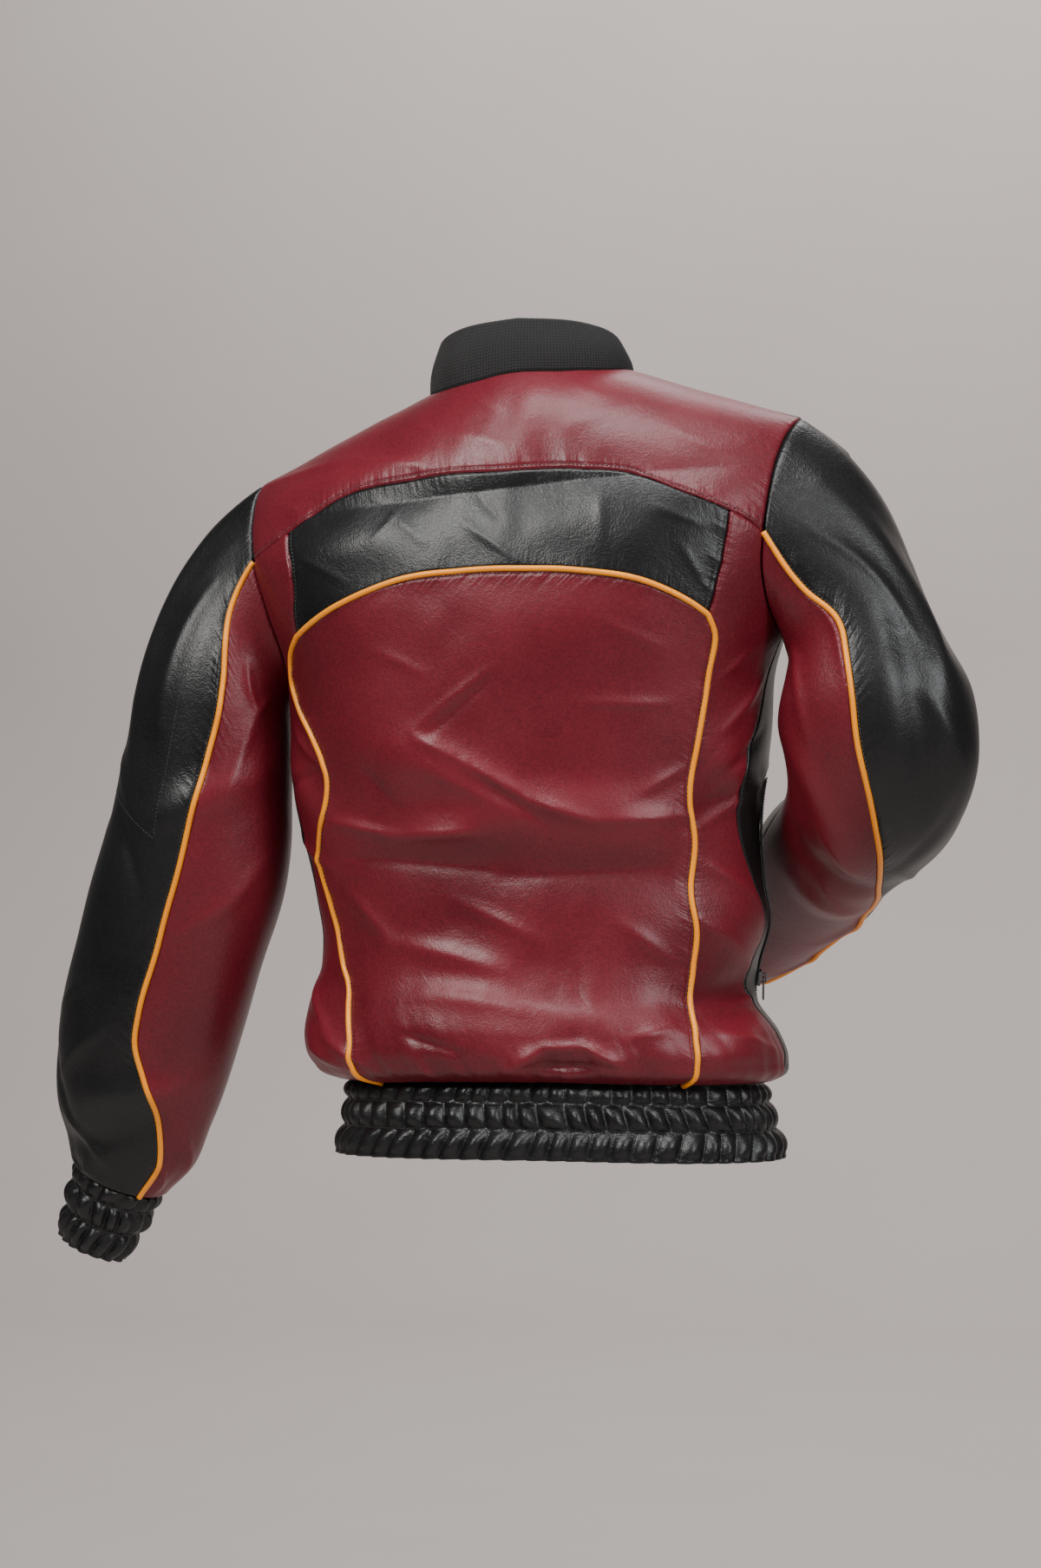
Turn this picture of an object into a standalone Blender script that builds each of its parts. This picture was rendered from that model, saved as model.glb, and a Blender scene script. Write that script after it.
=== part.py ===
# Blouson leather jacket in the form it has when it is worn: red and black panels, orange piping,
# a rib-knit stand collar, and a waistband and cuffs of leather gathered on elastic.
# Metres, +Z up. The wearer faces +Y and +X is the wearer's right. The origin is the middle of the
# base of the neck, where the jacket hangs from the shoulders.
import math

import bmesh
import bpy
import numpy as np
from mathutils import Matrix, Vector

for leftover in list(bpy.data.objects):
    bpy.data.objects.remove(leftover, do_unlink=True)

# Driving sizes of the garment
WALL = 0.0020                # thickness of the leather walls
RIB_WALL = 0.0040            # thickness of the rib-knit collar
SEAM = 0.00015               # each panel stops this far short of its seam line
CLEAR = 0.0003               # gap between a piece and what it lies on
PIPING_RADIUS = 0.0024
PIPING_SIDES = 6
TILT = 0.105                 # rise of the shoulder line towards the wearer's right
SHOULDER_TOP = 0.0443        # height of the shoulder line if it met over the neck
SHOULDER_SLOPE = math.tan(math.radians(22.0))
NECK_ROUND = 0.030           # rounding of the shoulder line over the neck
ROUND_BACK = 0.12            # height over which the back rounds up to the shoulder line
ROUND_FRONT = 0.20           # the same for the chest
HEM_RISE = 0.006             # the waist seam is this much higher at the back than at the sides
GIRTH = 0.0031               # metres round the body for one degree

# Rings of the body. The angle round a ring is 0 at the centre back, 90 at the wearer's right side
# and 180 at the centre front.
# columns: height, centre_x, half_width, depth_back, depth_front, squareness
BODY_ROWS = (
    (-0.558, 0.0215, 0.1770, 0.112, 0.122, 2.3),
    (-0.553, 0.0195, 0.1880, 0.122, 0.131, 2.3),
    (-0.540, 0.0155, 0.1965, 0.130, 0.139, 2.3),
    (-0.520, 0.0100, 0.1955, 0.131, 0.139, 2.3),
    (-0.490, 0.0010, 0.1845, 0.122, 0.130, 2.3),
    (-0.467, 0.0060, 0.1820, 0.116, 0.126, 2.3),
    (-0.435, 0.0120, 0.1860, 0.113, 0.126, 2.3),
    (-0.400, 0.0070, 0.1860, 0.113, 0.127, 2.3),
    (-0.370, 0.0030, 0.1870, 0.115, 0.128, 2.3),
    (-0.330, 0.0000, 0.1930, 0.118, 0.128, 2.3),
    (-0.290, 0.0000, 0.1990, 0.123, 0.127, 2.3),
    (-0.235, 0.0010, 0.2020, 0.128, 0.126, 2.4),
    (-0.2115, 0.0040, 0.2060, 0.129, 0.123, 2.5),
    (-0.150, 0.0030, 0.2220, 0.127, 0.117, 2.7),
    (-0.110, 0.0010, 0.2330, 0.120, 0.110, 2.8),
    (-0.075, 0.0000, 0.2395, 0.108, 0.100, 2.9),
)

# Largest folds of the body, each a soft ridge (rise above 0) or trough (rise below 0) along a line.
# columns: angle_from, height_from, angle_to, height_to, half_width, rise
BODY_FOLDS = (
    (-42.0, -0.270, -2.0, -0.322, 0.024, 0.0070),
    (-2.0, -0.322, 56.0, -0.356, 0.022, 0.0075),
    (-40.0, -0.345, 10.0, -0.344, 0.016, 0.0050),
    (-44.0, -0.368, 22.0, -0.384, 0.024, -0.0060),
    (24.0, -0.384, 56.0, -0.396, 0.020, -0.0045),
    (66.0, -0.300, 84.0, -0.345, 0.016, 0.0050),
    (60.0, -0.350, 84.0, -0.330, 0.014, -0.0040),
    (62.0, -0.500, 84.0, -0.478, 0.018, -0.0055),
    (58.0, -0.535, 84.0, -0.505, 0.016, 0.0045),
    (-76.0, -0.270, -62.0, -0.330, 0.016, 0.0045),
    (-80.0, -0.515, -52.0, -0.545, 0.016, 0.0045),
    (-66.0, -0.470, -50.0, -0.505, 0.018, -0.0045),
    (6.0, -0.545, 26.0, -0.520, 0.012, -0.0040),
    (-62.0, -0.052, -30.0, -0.040, 0.012, 0.0035),
    (120.0, -0.330, 156.0, -0.360, 0.022, 0.0060),
    (110.0, -0.400, 150.0, -0.425, 0.020, -0.0050),
    (-118.0, -0.310, -156.0, -0.350, 0.022, 0.0060),
    (-112.0, -0.430, -150.0, -0.400, 0.020, -0.0050),
    (122.0, -0.530, 156.0, -0.505, 0.016, 0.0045),
    (-122.0, -0.505, -156.0, -0.530, 0.016, 0.0045),
)

# Seams of the body. columns: angle, height
YOKE_SIDE_LEFT = ((-77.0, -0.104), (-71.0, -0.098), (-65.0, -0.086))
YOKE_MIDDLE = ((-65.0, -0.086), (-55.0, -0.065), (-36.0, -0.058), (0.0, -0.061), (30.0, -0.066),
               (46.0, -0.076), (56.0, -0.097), (62.5, -0.112))
YOKE_SIDE_RIGHT = ((62.5, -0.112), (66.0, -0.121), (69.6, -0.132))
BLACK_EDGE_LEFT = ((-65.0, -0.086), (-62.5, -0.120), (-64.5, -0.1735))
BLACK_EDGE_RIGHT = ((62.5, -0.112), (61.0, -0.148), (58.5, -0.1945))
ARCH = ((-64.5, -0.1735), (-52.0, -0.154), (-37.0, -0.140), (-15.0, -0.138), (7.0, -0.142),
        (25.0, -0.148), (43.0, -0.162), (54.0, -0.183), (58.5, -0.1945))
PIPING_LEFT = ((-64.5, -0.1735), (-70.0, -0.189), (-72.0, -0.208), (-68.5, -0.231), (-63.0, -0.258),
               (-60.0, -0.290), (-61.5, -0.316), (-65.5, -0.338), (-69.0, -0.360), (-68.5, -0.405),
               (-65.0, -0.452), (-57.5, -0.486), (-54.0, -0.522), (-56.0, -0.558))
PIPING_RIGHT = ((58.5, -0.1945), (61.0, -0.210), (62.0, -0.240), (61.0, -0.298), (60.5, -0.338),
                (62.0, -0.368), (59.5, -0.420), (61.0, -0.458), (61.0, -0.490), (56.0, -0.522),
                (54.0, -0.558))
SIDE_SEAM_LEFT = ((-90.0, -0.2115), (-84.0, -0.260), (-79.0, -0.300), (-77.0, -0.350), (-79.0, -0.420),
                  (-81.0, -0.470), (-88.0, -0.530), (-88.0, -0.558))
SIDE_SEAM_RIGHT = ((90.0, -0.2115), (83.0, -0.260), (77.0, -0.305), (75.5, -0.350), (82.0, -0.405),
                   (88.0, -0.440), (84.0, -0.480), (90.0, -0.525), (91.0, -0.558))

# Armholes, round from the shoulder tip over the back to the armpit (180) and up the front.
# columns: round, angle_left, angle_right, height
ARMHOLE = (
    (25.0, 78.5, 73.5, -0.052), (50.0, 78.0, 71.5, -0.078),
    (75.0, 77.0, 70.0, -0.108), (100.0, 77.0, 69.6, -0.138), (125.0, 78.5, 71.0, -0.168),
    (150.0, 82.0, 76.0, -0.194), (165.0, 86.0, 82.0, -0.206), (180.0, 90.0, 90.0, -0.2115),
    (195.0, 96.0, 97.0, -0.207), (215.0, 102.0, 102.5, -0.190), (240.0, 106.0, 106.0, -0.158),
    (270.0, 107.5, 107.5, -0.120), (300.0, 106.5, 106.5, -0.085), (330.0, 104.5, 104.5, -0.056),
)
SHOULDER_TIP = 0.2268        # the shoulder line ends this far from the middle, at round 0 and 360
UNDERARM_FRONT = 235.0       # place round the armhole where the plain front sleeve seam starts
YOKE_AT_ARMHOLE = {-1: 71.7, 1: 95.0}   # where the yoke seam and the sleeve's back seam meet it

# Neckline and collar: half width, depth behind the origin and in front of it
NECK_HALF_WIDTH = 0.085
NECK_BACK = 0.060
NECK_FRONT = 0.085
COLLAR_TOP_HALF_WIDTH = 0.0755
COLLAR_TOP_BACK = 0.054
COLLAR_TOP_FRONT = 0.070
COLLAR_TOP_HEIGHTS = ((0.0, 0.0690), (45.0, 0.0640), (90.0, 0.0500), (135.0, 0.0150), (180.0, -0.0180))
COLLAR_FRONT_GAP = 0.0045    # half of the opening where the collar ends meet
ZIP_OPENING = 0.0058         # half of the opening between the fronts

# Stations down the sleeves' middle lines, from just below the armhole to the cuff.
# columns: x, y, z, half_width (across the body), half_depth (front to back)
SLEEVE_LEFT = (
    (-0.272, -0.002, -0.250, 0.0665, 0.068), (-0.280, -0.004, -0.310, 0.0745, 0.068),
    (-0.291, -0.004, -0.382, 0.0805, 0.066), (-0.306, 0.000, -0.428, 0.0805, 0.064),
    (-0.324, 0.006, -0.490, 0.0790, 0.062), (-0.341, 0.014, -0.552, 0.0740, 0.058),
    (-0.350, 0.020, -0.593, 0.0665, 0.053), (-0.355, 0.025, -0.624, 0.0560, 0.047),
    (-0.3655, 0.029, -0.648, 0.0420, 0.041),
)
SLEEVE_RIGHT = (
    (0.283, -0.020, -0.210, 0.0670, 0.064), (0.291, -0.030, -0.250, 0.0800, 0.064),
    (0.295, -0.031, -0.287, 0.0780, 0.054), (0.287, -0.008, -0.323, 0.0710, 0.050),
    (0.265, 0.036, -0.349, 0.0630, 0.051), (0.240, 0.088, -0.368, 0.0600, 0.056),
    (0.217, 0.132, -0.388, 0.0580, 0.056), (0.190, 0.175, -0.412, 0.0540, 0.052),
    (0.163, 0.207, -0.434, 0.0480, 0.046), (0.135, 0.232, -0.452, 0.0420, 0.041),
)
BEND = 0.030                 # the sleeve's direction is taken over this length each way
CUFF_END = {-1: (-0.393, 0.036, -0.708), 1: (0.087, 0.269, -0.480)}
SLEEVE_SIDES = {-1: SLEEVE_LEFT, 1: SLEEVE_RIGHT}

# Where the sleeve seams run, as places round the sleeve. columns: share of the length, place round
BACK_SEAM = {
    -1: ((0.0, 71.7), (0.05, 84.0), (0.10, 98.0), (0.15, 107.0), (0.20, 110.0), (0.30, 105.0),
         (0.40, 98.0), (0.50, 94.0), (0.60, 94.0), (0.70, 92.0), (0.75, 94.0), (0.80, 104.0),
         (0.86, 118.0), (0.92, 127.0), (1.0, 131.0)),
    1: ((0.0, 95.0), (0.05, 103.0), (0.10, 107.0), (0.20, 101.0), (0.30, 98.5), (0.35, 98.0),
        (0.40, 91.0), (0.45, 83.0), (0.50, 75.0), (0.55, 66.0), (0.62, 54.0), (0.70, 45.0),
        (0.85, 39.0), (1.0, 42.0)),
}
FRONT_SEAM = {
    -1: ((0.0, 235.0), (0.3, 228.0), (1.0, 225.0)),
    1: ((0.0, 235.0), (0.3, 225.0), (0.55, 200.0), (0.75, 165.0), (1.0, 160.0)),
}

# Folds of the sleeves. columns: share_from, round_from, share_to, round_to, half_width, rise
SLEEVE_FOLDS = {
    -1: ((0.05, 20.0, 0.35, 50.0, 0.014, 0.0050), (0.10, 5.0, 0.40, 15.0, 0.014, -0.0045),
         (0.30, 150.0, 0.42, 60.0, 0.016, 0.0045), (0.80, 140.0, 0.86, 60.0, 0.014, 0.0045),
         (0.88, 120.0, 0.95, 40.0, 0.011, -0.0035), (0.45, 290.0, 0.55, 350.0, 0.018, 0.0050),
         (0.62, 300.0, 0.70, 230.0, 0.016, 0.0045)),
    1: ((0.05, 40.0, 0.30, 30.0, 0.014, 0.0050), (0.22, 62.0, 0.45, 58.0, 0.014, -0.0050),
        (0.34, 150.0, 0.50, 100.0, 0.014, 0.0055), (0.50, 155.0, 0.56, 60.0, 0.013, -0.0040),
        (0.60, 130.0, 0.66, 60.0, 0.014, 0.0045), (0.45, 0.0, 0.56, 40.0, 0.016, 0.0045),
        (0.70, 20.0, 0.80, 60.0, 0.014, 0.0040)),
}

# Gathered bands: the leather puffs out between rows of elastic stitching.
# columns: share of the band's depth, stand-off from the base ring, depth of the gathers
BAND_PUFFS = (
    (0.0, 0.0000, 0.0000), (0.13, 0.0035, 0.0016), (0.24, 0.0008, 0.0000), (0.42, 0.0050, 0.0022),
    (0.60, 0.0012, 0.0000), (0.80, 0.0052, 0.0022), (1.0, 0.0020, 0.0012),
)
WAIST_GATHERS = 56
CUFF_GATHERS = 16
# columns: height, centre_x, half_width, depth_back, depth_front
WAIST_ROWS = (
    (-0.6185, 0.0245, 0.1830, 0.120, 0.127),
    (-0.5900, 0.0240, 0.1770, 0.115, 0.122),
    (-0.5586, 0.0215, 0.1720, 0.108, 0.117),
)
WAIST_SQUARE = 2.3
CUFF_START_HALF = 0.0375
CUFF_END_HALF = 0.0270

# Cells of the panels' grids. Panels that share a seam have the same number of cells along it.
NECK_CELLS = 8
SHOULDER_CELLS = 9
YOKE_SIDE_CELLS = 3
ARCH_CELLS = 20
YOKE_ROWS = 4
UNDERARM_ROWS = 6            # armhole from the yoke seam down to the armpit
BLACK_ROWS = 4
PIPING_ROWS = 18             # from the arch's corner down to the waist
SIDE_ROWS = 16
SLEEVE_FRONT_LOW = 3         # armhole from the armpit forward to the front sleeve seam
SLEEVE_FRONT_HIGH = 5        # and from there up to the shoulder tip
NECK_FRONT_CELLS = 5
SLEEVE_ROWS = 20


# Reading tables, lines and patches
def table(rows, at):
    """Each column of the rows at the given places: a cubic through them with its neighbours' slopes."""
    rows = np.asarray(rows, float)
    place, value = rows[:, 0], rows[:, 1:]
    at = np.clip(np.asarray(at, float), place[0], place[-1])
    slope = np.gradient(value, place, axis=0)
    row = np.clip(np.searchsorted(place, at, side="right") - 1, 0, len(place) - 2)
    step = (place[row + 1] - place[row])[..., None]
    t = (at - place[row])[..., None] / step
    return ((2 * t**3 - 3 * t**2 + 1) * value[row] + (t**3 - 2 * t**2 + t) * step * slope[row]
            + (3 * t**2 - 2 * t**3) * value[row + 1] + (t**3 - t**2) * step * slope[row + 1])


def travelled(points):
    """Length travelled along a line of points, from 0 at its start."""
    steps = np.linalg.norm(np.diff(points, axis=0), axis=1)
    return np.concatenate(([0.0], np.cumsum(steps)))


def seam(rows, cells):
    """A smooth line through rows of angle and height, cut into cells of equal length."""
    rows = np.asarray(rows, float)
    metric = np.array((GIRTH, 1.0))
    length = travelled(rows * metric)
    fine = table(np.column_stack((length, rows)), np.linspace(0.0, length[-1], 300))
    run = travelled(fine * metric)
    even = np.linspace(0.0, run[-1], cells + 1)
    return np.column_stack([np.interp(even, run, fine[:, k]) for k in range(2)])


def patch(top, bottom, left, right):
    """Grid between four edges: the two rulings across, less the ruling between the corners."""
    down = np.linspace(0.0, 1.0, len(left))[:, None, None]
    across = np.linspace(0.0, 1.0, len(top))[None, :, None]
    corners = ((1 - down) * ((1 - across) * top[0] + across * top[-1])
               + down * ((1 - across) * bottom[0] + across * bottom[-1]))
    return ((1 - down) * top[None] + down * bottom[None]
            + (1 - across) * left[:, None] + across * right[:, None] - corners)


def smooth_step(at, low, high):
    """0 below low, 1 above high, and an even S between."""
    t = np.clip((np.asarray(at, float) - low) / (high - low), 0.0, 1.0)
    return t * t * (3.0 - 2.0 * t)


def folds(place, rows, metric):
    """Sum of soft ridges: each falls off as a bell with the distance from its line."""
    total = np.zeros(place.shape[:-1])
    for row in rows:
        start, end = np.array(row[0:2]) * metric, np.array(row[2:4]) * metric
        line = end - start
        share = np.clip(((place - start) @ line) / (line @ line), 0.0, 1.0)
        away = np.linalg.norm(place - start - share[..., None] * line, axis=-1)
        total += row[5] * np.exp(-(away / row[4])**2) * (0.35 + 0.65 * np.sin(math.pi * share))
    return total


# The body's surface
def body_ring(angle, height):
    """Squared ellipse at a height: x and y at an angle, in polar form."""
    turn = np.radians(angle)
    ring = table(BODY_ROWS, height)
    centre, wide, back, front, power = [ring[..., k] for k in range(5)]
    deep = np.where(np.cos(turn) > 0.0, back, front)
    reach = (np.abs(np.sin(turn) / wide)**power + np.abs(np.cos(turn) / deep)**power)**(-1.0 / power)
    return centre + reach * np.sin(turn), -reach * np.cos(turn)


def ridge(angle):
    """Height of the shoulder line above an angle of the top ring, before the shoulders tilt."""
    top_x, _ = body_ring(angle, np.zeros_like(np.asarray(angle, float)))
    return SHOULDER_TOP - SHOULDER_SLOPE * (np.sqrt(top_x**2 + NECK_ROUND**2) - NECK_ROUND)


def rounding(angle):
    return np.where(np.cos(np.radians(angle)) > 0.0, ROUND_BACK, ROUND_FRONT)


def arc_of(angle, height):
    """Place down from the shoulder line: an angle over its quarter round, then straight on."""
    low = (ridge(angle) - height) / rounding(angle)
    return np.where(low < 1.0, np.arccos(np.clip(1.0 - low, -1.0, 1.0)), math.pi / 2 + low - 1.0)


def body_at_arc(angle, arc):
    """Ring point, drawn in to the shoulder line over the quarter round, with tilt and hem rise."""
    low = np.where(arc < math.pi / 2, 1.0 - np.cos(arc), 1.0 + arc - math.pi / 2)
    height = ridge(angle) - rounding(angle) * low
    x, y = body_ring(angle, height)
    y = y * np.sin(np.minimum(arc, math.pi / 2))
    lift = TILT * x * smooth_step(height, -0.60, -0.25)
    rise = HEM_RISE * np.cos(np.radians(angle)) * (1.0 - smooth_step(height, -0.55, -0.30))
    return np.stack((x, y, height + lift + rise), axis=-1)


def body(place):
    """Points and outward directions of the body at places of angle and height, folds included."""
    angle, height = place[..., 0], place[..., 1]
    arc = arc_of(angle, height)

    def at(turn, down):
        return body_at_arc(angle + turn, arc + down)

    # one step round, away from the side line, where the rounding of the back meets the chest's
    turn = np.where((np.abs(angle) <= 90.0) == (angle >= 0.0), -0.05, 0.05)
    normal = np.cross(at(0.0, 0.001) - at(0.0, -0.001), (at(turn, 0.0) - at(0.0, 0.0)) / turn[..., None])
    normal /= np.linalg.norm(normal, axis=-1, keepdims=True)
    metric = np.array((GIRTH, 1.0))
    rise = folds(place * metric, BODY_FOLDS, metric)
    return at(0.0, 0.0) + normal * rise[..., None], normal


def neckline(turns):
    """Places on the body below points of the neck ellipse, at turns round from the centre back."""
    turns = np.asarray(turns, float)
    deep = np.where(np.cos(np.radians(turns)) > 0.0, NECK_BACK, NECK_FRONT)
    x, y = NECK_HALF_WIDTH * np.sin(np.radians(turns)), -deep * np.cos(np.radians(turns))
    _, _, wide, back, front, power = BODY_ROWS[-1]
    ring_y = np.where(y > 0.0, front, -back) * (1.0 - np.abs(x / wide)**power)**(1.0 / power)
    angle = np.degrees(np.arctan2(x, -ring_y))
    inward = np.arcsin(np.clip(y / ring_y, 0.0, 1.0))
    return np.column_stack((angle, ridge(angle) - rounding(angle) * (1.0 - np.cos(inward))))


def tip_angle(front):
    """Angle at which the top ring is as far out as the shoulder tip."""
    _, _, wide, back, chest, power = BODY_ROWS[-1]
    deep = (chest if front else back) * (1.0 - (SHOULDER_TIP / wide)**power)**(1.0 / power)
    angle = math.degrees(math.atan2(SHOULDER_TIP, deep))
    return 180.0 - angle if front else angle


def shoulder_line(side, front):
    """Places along the shoulder line from the neck to the tip, seen as the back's or the front's."""
    neck = neckline([side * (90.0 + (0.01 if front else -0.01))])[0, 0]
    tip = side * tip_angle(front)
    depth = 0.0 * neck
    reach = {}
    for name, angle in (("neck", neck), ("tip", tip)):
        reach[name] = body_ring(np.array(angle), np.array(depth))[0]
    fine = np.linspace(neck, tip, 400)
    across = body_ring(fine, np.zeros_like(fine))[0]
    even = np.linspace(reach["neck"], reach["tip"], SHOULDER_CELLS + 1)
    order = np.argsort(across)
    angle = np.interp(even, across[order], fine[order])
    return np.column_stack((angle, ridge(angle)))


def armhole(side, rounds):
    """Places on the body at stations round the armhole."""
    ends = [(turn, tip_angle(front), tip_angle(front), float(ridge(tip_angle(front))))
            for turn, front in ((0.0, False), (360.0, True))]
    rows = table((ends[0], *ARMHOLE, ends[1]), np.mod(rounds, 360.0))
    return np.stack((side * rows[..., 0 if side < 0 else 1], rows[..., 2]), axis=-1)


# The sleeves' surface
def stations(side):
    """The sleeve's rows with the length down its middle line in front, and the armhole's middle."""
    rows = np.asarray(SLEEVE_SIDES[side], float)
    loop, _ = body(armhole(side, np.arange(0.0, 360.0, 10.0)))
    middle = loop.mean(axis=0)
    length = travelled(np.vstack((middle[None], rows[:, :3])))[1:]
    return np.column_stack((length, rows))


def ring_frame(side, rows, down):
    """Middle, outward and backward directions and half sizes of the sleeve at lengths down it."""
    here = table(rows, down)
    along = table(rows, down + BEND)[..., :3] - table(rows, down - BEND)[..., :3]
    along /= np.linalg.norm(along, axis=-1, keepdims=True)
    out = np.array((side, 0.0, 0.0)) - along * (side * along[..., :1])
    out /= np.linalg.norm(out, axis=-1, keepdims=True)
    return here[..., :3], out, side * np.cross(along, out), here[..., 3:4], here[..., 4:5]


def sleeve_ring(side, rows, rounds, down):
    middle, out, back, wide, deep = ring_frame(side, rows, down)
    turn = np.radians(rounds)[..., None]
    return middle + out * wide * np.cos(turn) + back * deep * np.sin(turn)


def sleeve_bare(side, rows, rounds, down):
    """Below the cap the sleeve is its rings. The cap is a cubic from each armhole point to its ring."""
    cap = rows[0, 0]
    share = np.clip(down / cap, 0.0, 1.0)[..., None]
    loop, _ = body(armhole(side, rounds))
    loop = loop + np.array((side * CLEAR, 0.0, 0.0))
    ring = sleeve_ring(side, rows, rounds, np.maximum(down, cap))
    first = sleeve_ring(side, rows, rounds, np.full_like(down, cap))
    slope_end = sleeve_ring(side, rows, rounds, np.full_like(down, cap + 0.006)) - first
    turn = np.cos(np.radians(rounds))
    start = np.stack((side * (0.68 + 0.17 * turn), 0.0 * turn, -0.68 + 0.17 * turn), axis=-1)
    start /= np.linalg.norm(start, axis=-1, keepdims=True)
    reach = np.linalg.norm(first - loop, axis=-1, keepdims=True)
    slope_start = start * reach * 1.25
    slope_end *= reach * 1.1 / np.linalg.norm(slope_end, axis=-1, keepdims=True)
    t = share
    cubic = ((2 * t**3 - 3 * t**2 + 1) * loop + (t**3 - 2 * t**2 + t) * slope_start
             + (3 * t**2 - 2 * t**3) * first + (t**3 - t**2) * slope_end)
    return np.where(share < 1.0, cubic, ring)


def sleeve(side, rounds, down):
    """Points and outward directions of a sleeve, folds included."""
    rows = stations(side)
    length = rows[-1, 0]
    at = sleeve_bare(side, rows, rounds, down)
    round_step = sleeve_bare(side, rows, rounds + 0.5, down) - sleeve_bare(side, rows, rounds - 0.5, down)
    low = np.maximum(down - 0.0005, 0.0)
    high = np.minimum(down + 0.0005, length)
    down_step = sleeve_bare(side, rows, rounds, high) - sleeve_bare(side, rows, rounds, low)
    normal = side * np.cross(round_step, down_step)
    normal /= np.linalg.norm(normal, axis=-1, keepdims=True)
    metric = np.array((length, 0.0012))
    place = np.stack((down / length, np.mod(rounds, 360.0)), axis=-1) * metric
    fade = smooth_step(down, 0.0, 0.03) * (1.0 - smooth_step(down, length - 0.03, length))
    rise = folds(place, SLEEVE_FOLDS[side], metric) * fade
    return at + normal * rise[..., None], normal


# Making pieces
def finish(name, colour, roughness, metallic=0.0):
    material = bpy.data.materials.new(name)
    material.use_nodes = True
    shader = material.node_tree.nodes["Principled BSDF"]
    shader.inputs["Base Color"].default_value = (*colour, 1.0)
    shader.inputs["Roughness"].default_value = roughness
    shader.inputs["Metallic"].default_value = metallic
    return material


RED_LEATHER = finish("red leather", (0.16, 0.010, 0.018), 0.38)
BLACK_LEATHER = finish("black leather", (0.012, 0.012, 0.013), 0.36)
ORANGE_PIPING = finish("orange piping", (0.93, 0.29, 0.012), 0.45)
BLACK_RIB = finish("black rib knit", (0.022, 0.020, 0.021), 0.85)
ZIP_TAPE = finish("zip tape", (0.010, 0.010, 0.011), 0.70)
ZIP_METAL = finish("zip metal", (0.10, 0.10, 0.105), 0.35, 0.9)


def make_piece(name, points, faces, material):
    mesh = bpy.data.meshes.new(name)
    mesh.from_pydata([tuple(point) for point in np.asarray(points)], [], faces)
    mesh.shade_smooth()
    mesh.materials.append(material)
    piece = bpy.data.objects.new(name, mesh)
    bpy.context.scene.collection.objects.link(piece)
    return piece


def triangles(first, second, third, fourth):
    """Two triangles for each four corners, always cut along the same diagonal."""
    one, two = np.stack((first, second, third), -1), np.stack((first, third, fourth), -1)
    return np.concatenate((one.reshape(-1, 3), two.reshape(-1, 3)))


def edge_inset(point, depth, side):
    """How each point of one edge moves to lie a set distance inside its seam line."""
    moved = np.zeros_like(point)
    edge, inner = {"top": (point[0], point[1]), "bottom": (point[-1], point[-2]),
                   "left": (point[:, 0], point[:, 1]), "right": (point[:, -1], point[:, -2])}[side]
    tangent = np.gradient(edge, axis=0)
    tangent /= np.linalg.norm(tangent, axis=-1, keepdims=True)
    inward = inner - edge
    inward -= tangent * np.sum(inward * tangent, axis=-1, keepdims=True)
    inward *= depth / np.linalg.norm(inward, axis=-1, keepdims=True)
    place = {"top": np.s_[0], "bottom": np.s_[-1], "left": np.s_[:, 0], "right": np.s_[:, -1]}[side]
    moved[place] = inward
    return moved


def wall(name, outer, inner, material):
    """Closed solid between two grids: outer faces, inner faces turned about, and the four rims.

    Each rim cell is cut from its higher outer corner, so two panels cut their shared seam alike.
    """
    rows, columns = outer.shape[:2]
    count = rows * columns
    index = np.arange(count).reshape(rows, columns)
    loop = np.concatenate((index[0, :-1], index[:-1, -1], index[-1, :0:-1], index[:0:-1, 0]))
    after = np.roll(loop, -1)
    face = triangles(index[:-1, :-1], index[1:, :-1], index[1:, 1:], index[:-1, 1:])
    corners = np.stack((loop, after, after + count, loop + count))
    height = outer.reshape(-1, 3)[:, 2]
    corners = np.where(height[loop] >= height[after], corners, np.roll(corners, -1, axis=0))
    faces = np.concatenate((face, face[:, ::-1] + count, triangles(*corners)))
    volume_sign = np.sum(np.cross(outer[1:, :-1] - outer[:-1, :-1], outer[:-1, 1:] - outer[:-1, :-1])
                         * (outer[:-1, :-1] - inner[:-1, :-1]))
    if volume_sign < 0.0:
        faces = faces[:, ::-1]
    points = np.concatenate((outer.reshape(-1, 3), inner.reshape(-1, 3)))
    return make_piece(name, points, faces.tolist(), material)


def sew(name, point, normal, material, insets, mitres=(), thickness=WALL):
    """A panel: its edges drawn in from the seam lines, then a wall behind it along its normals."""
    back = -normal * thickness
    for place, direction in mitres:
        back[place] = -direction * thickness
    outer = point + sum(edge_inset(point, depth, side) for side, depth in insets.items())
    return wall(name, outer, outer + back, material)


def tube(name, path, normal, radius, sides, material):
    """Round cord along a path, its ring turned with the path's normals, and flat ends."""
    along = np.gradient(path, axis=0)
    along /= np.linalg.norm(along, axis=-1, keepdims=True)
    up = normal - along * np.sum(normal * along, axis=-1, keepdims=True)
    up /= np.linalg.norm(up, axis=-1, keepdims=True)
    across = np.cross(along, up)
    turn = np.radians(np.arange(sides) * 360.0 / sides + 180.0 / sides)[None, :, None]
    rings = path[:, None] + radius * (across[:, None] * np.cos(turn) + up[:, None] * np.sin(turn))
    index = np.arange(len(path) * sides).reshape(len(path), sides)
    after = np.roll(index, -1, axis=1)
    faces = np.stack((index[:-1], index[1:], after[1:], after[:-1]), -1).reshape(-1, 4).tolist()
    faces += [index[0].tolist(), index[-1, ::-1].tolist()]
    return make_piece(name, rings.reshape(-1, 3), faces, material)


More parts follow.
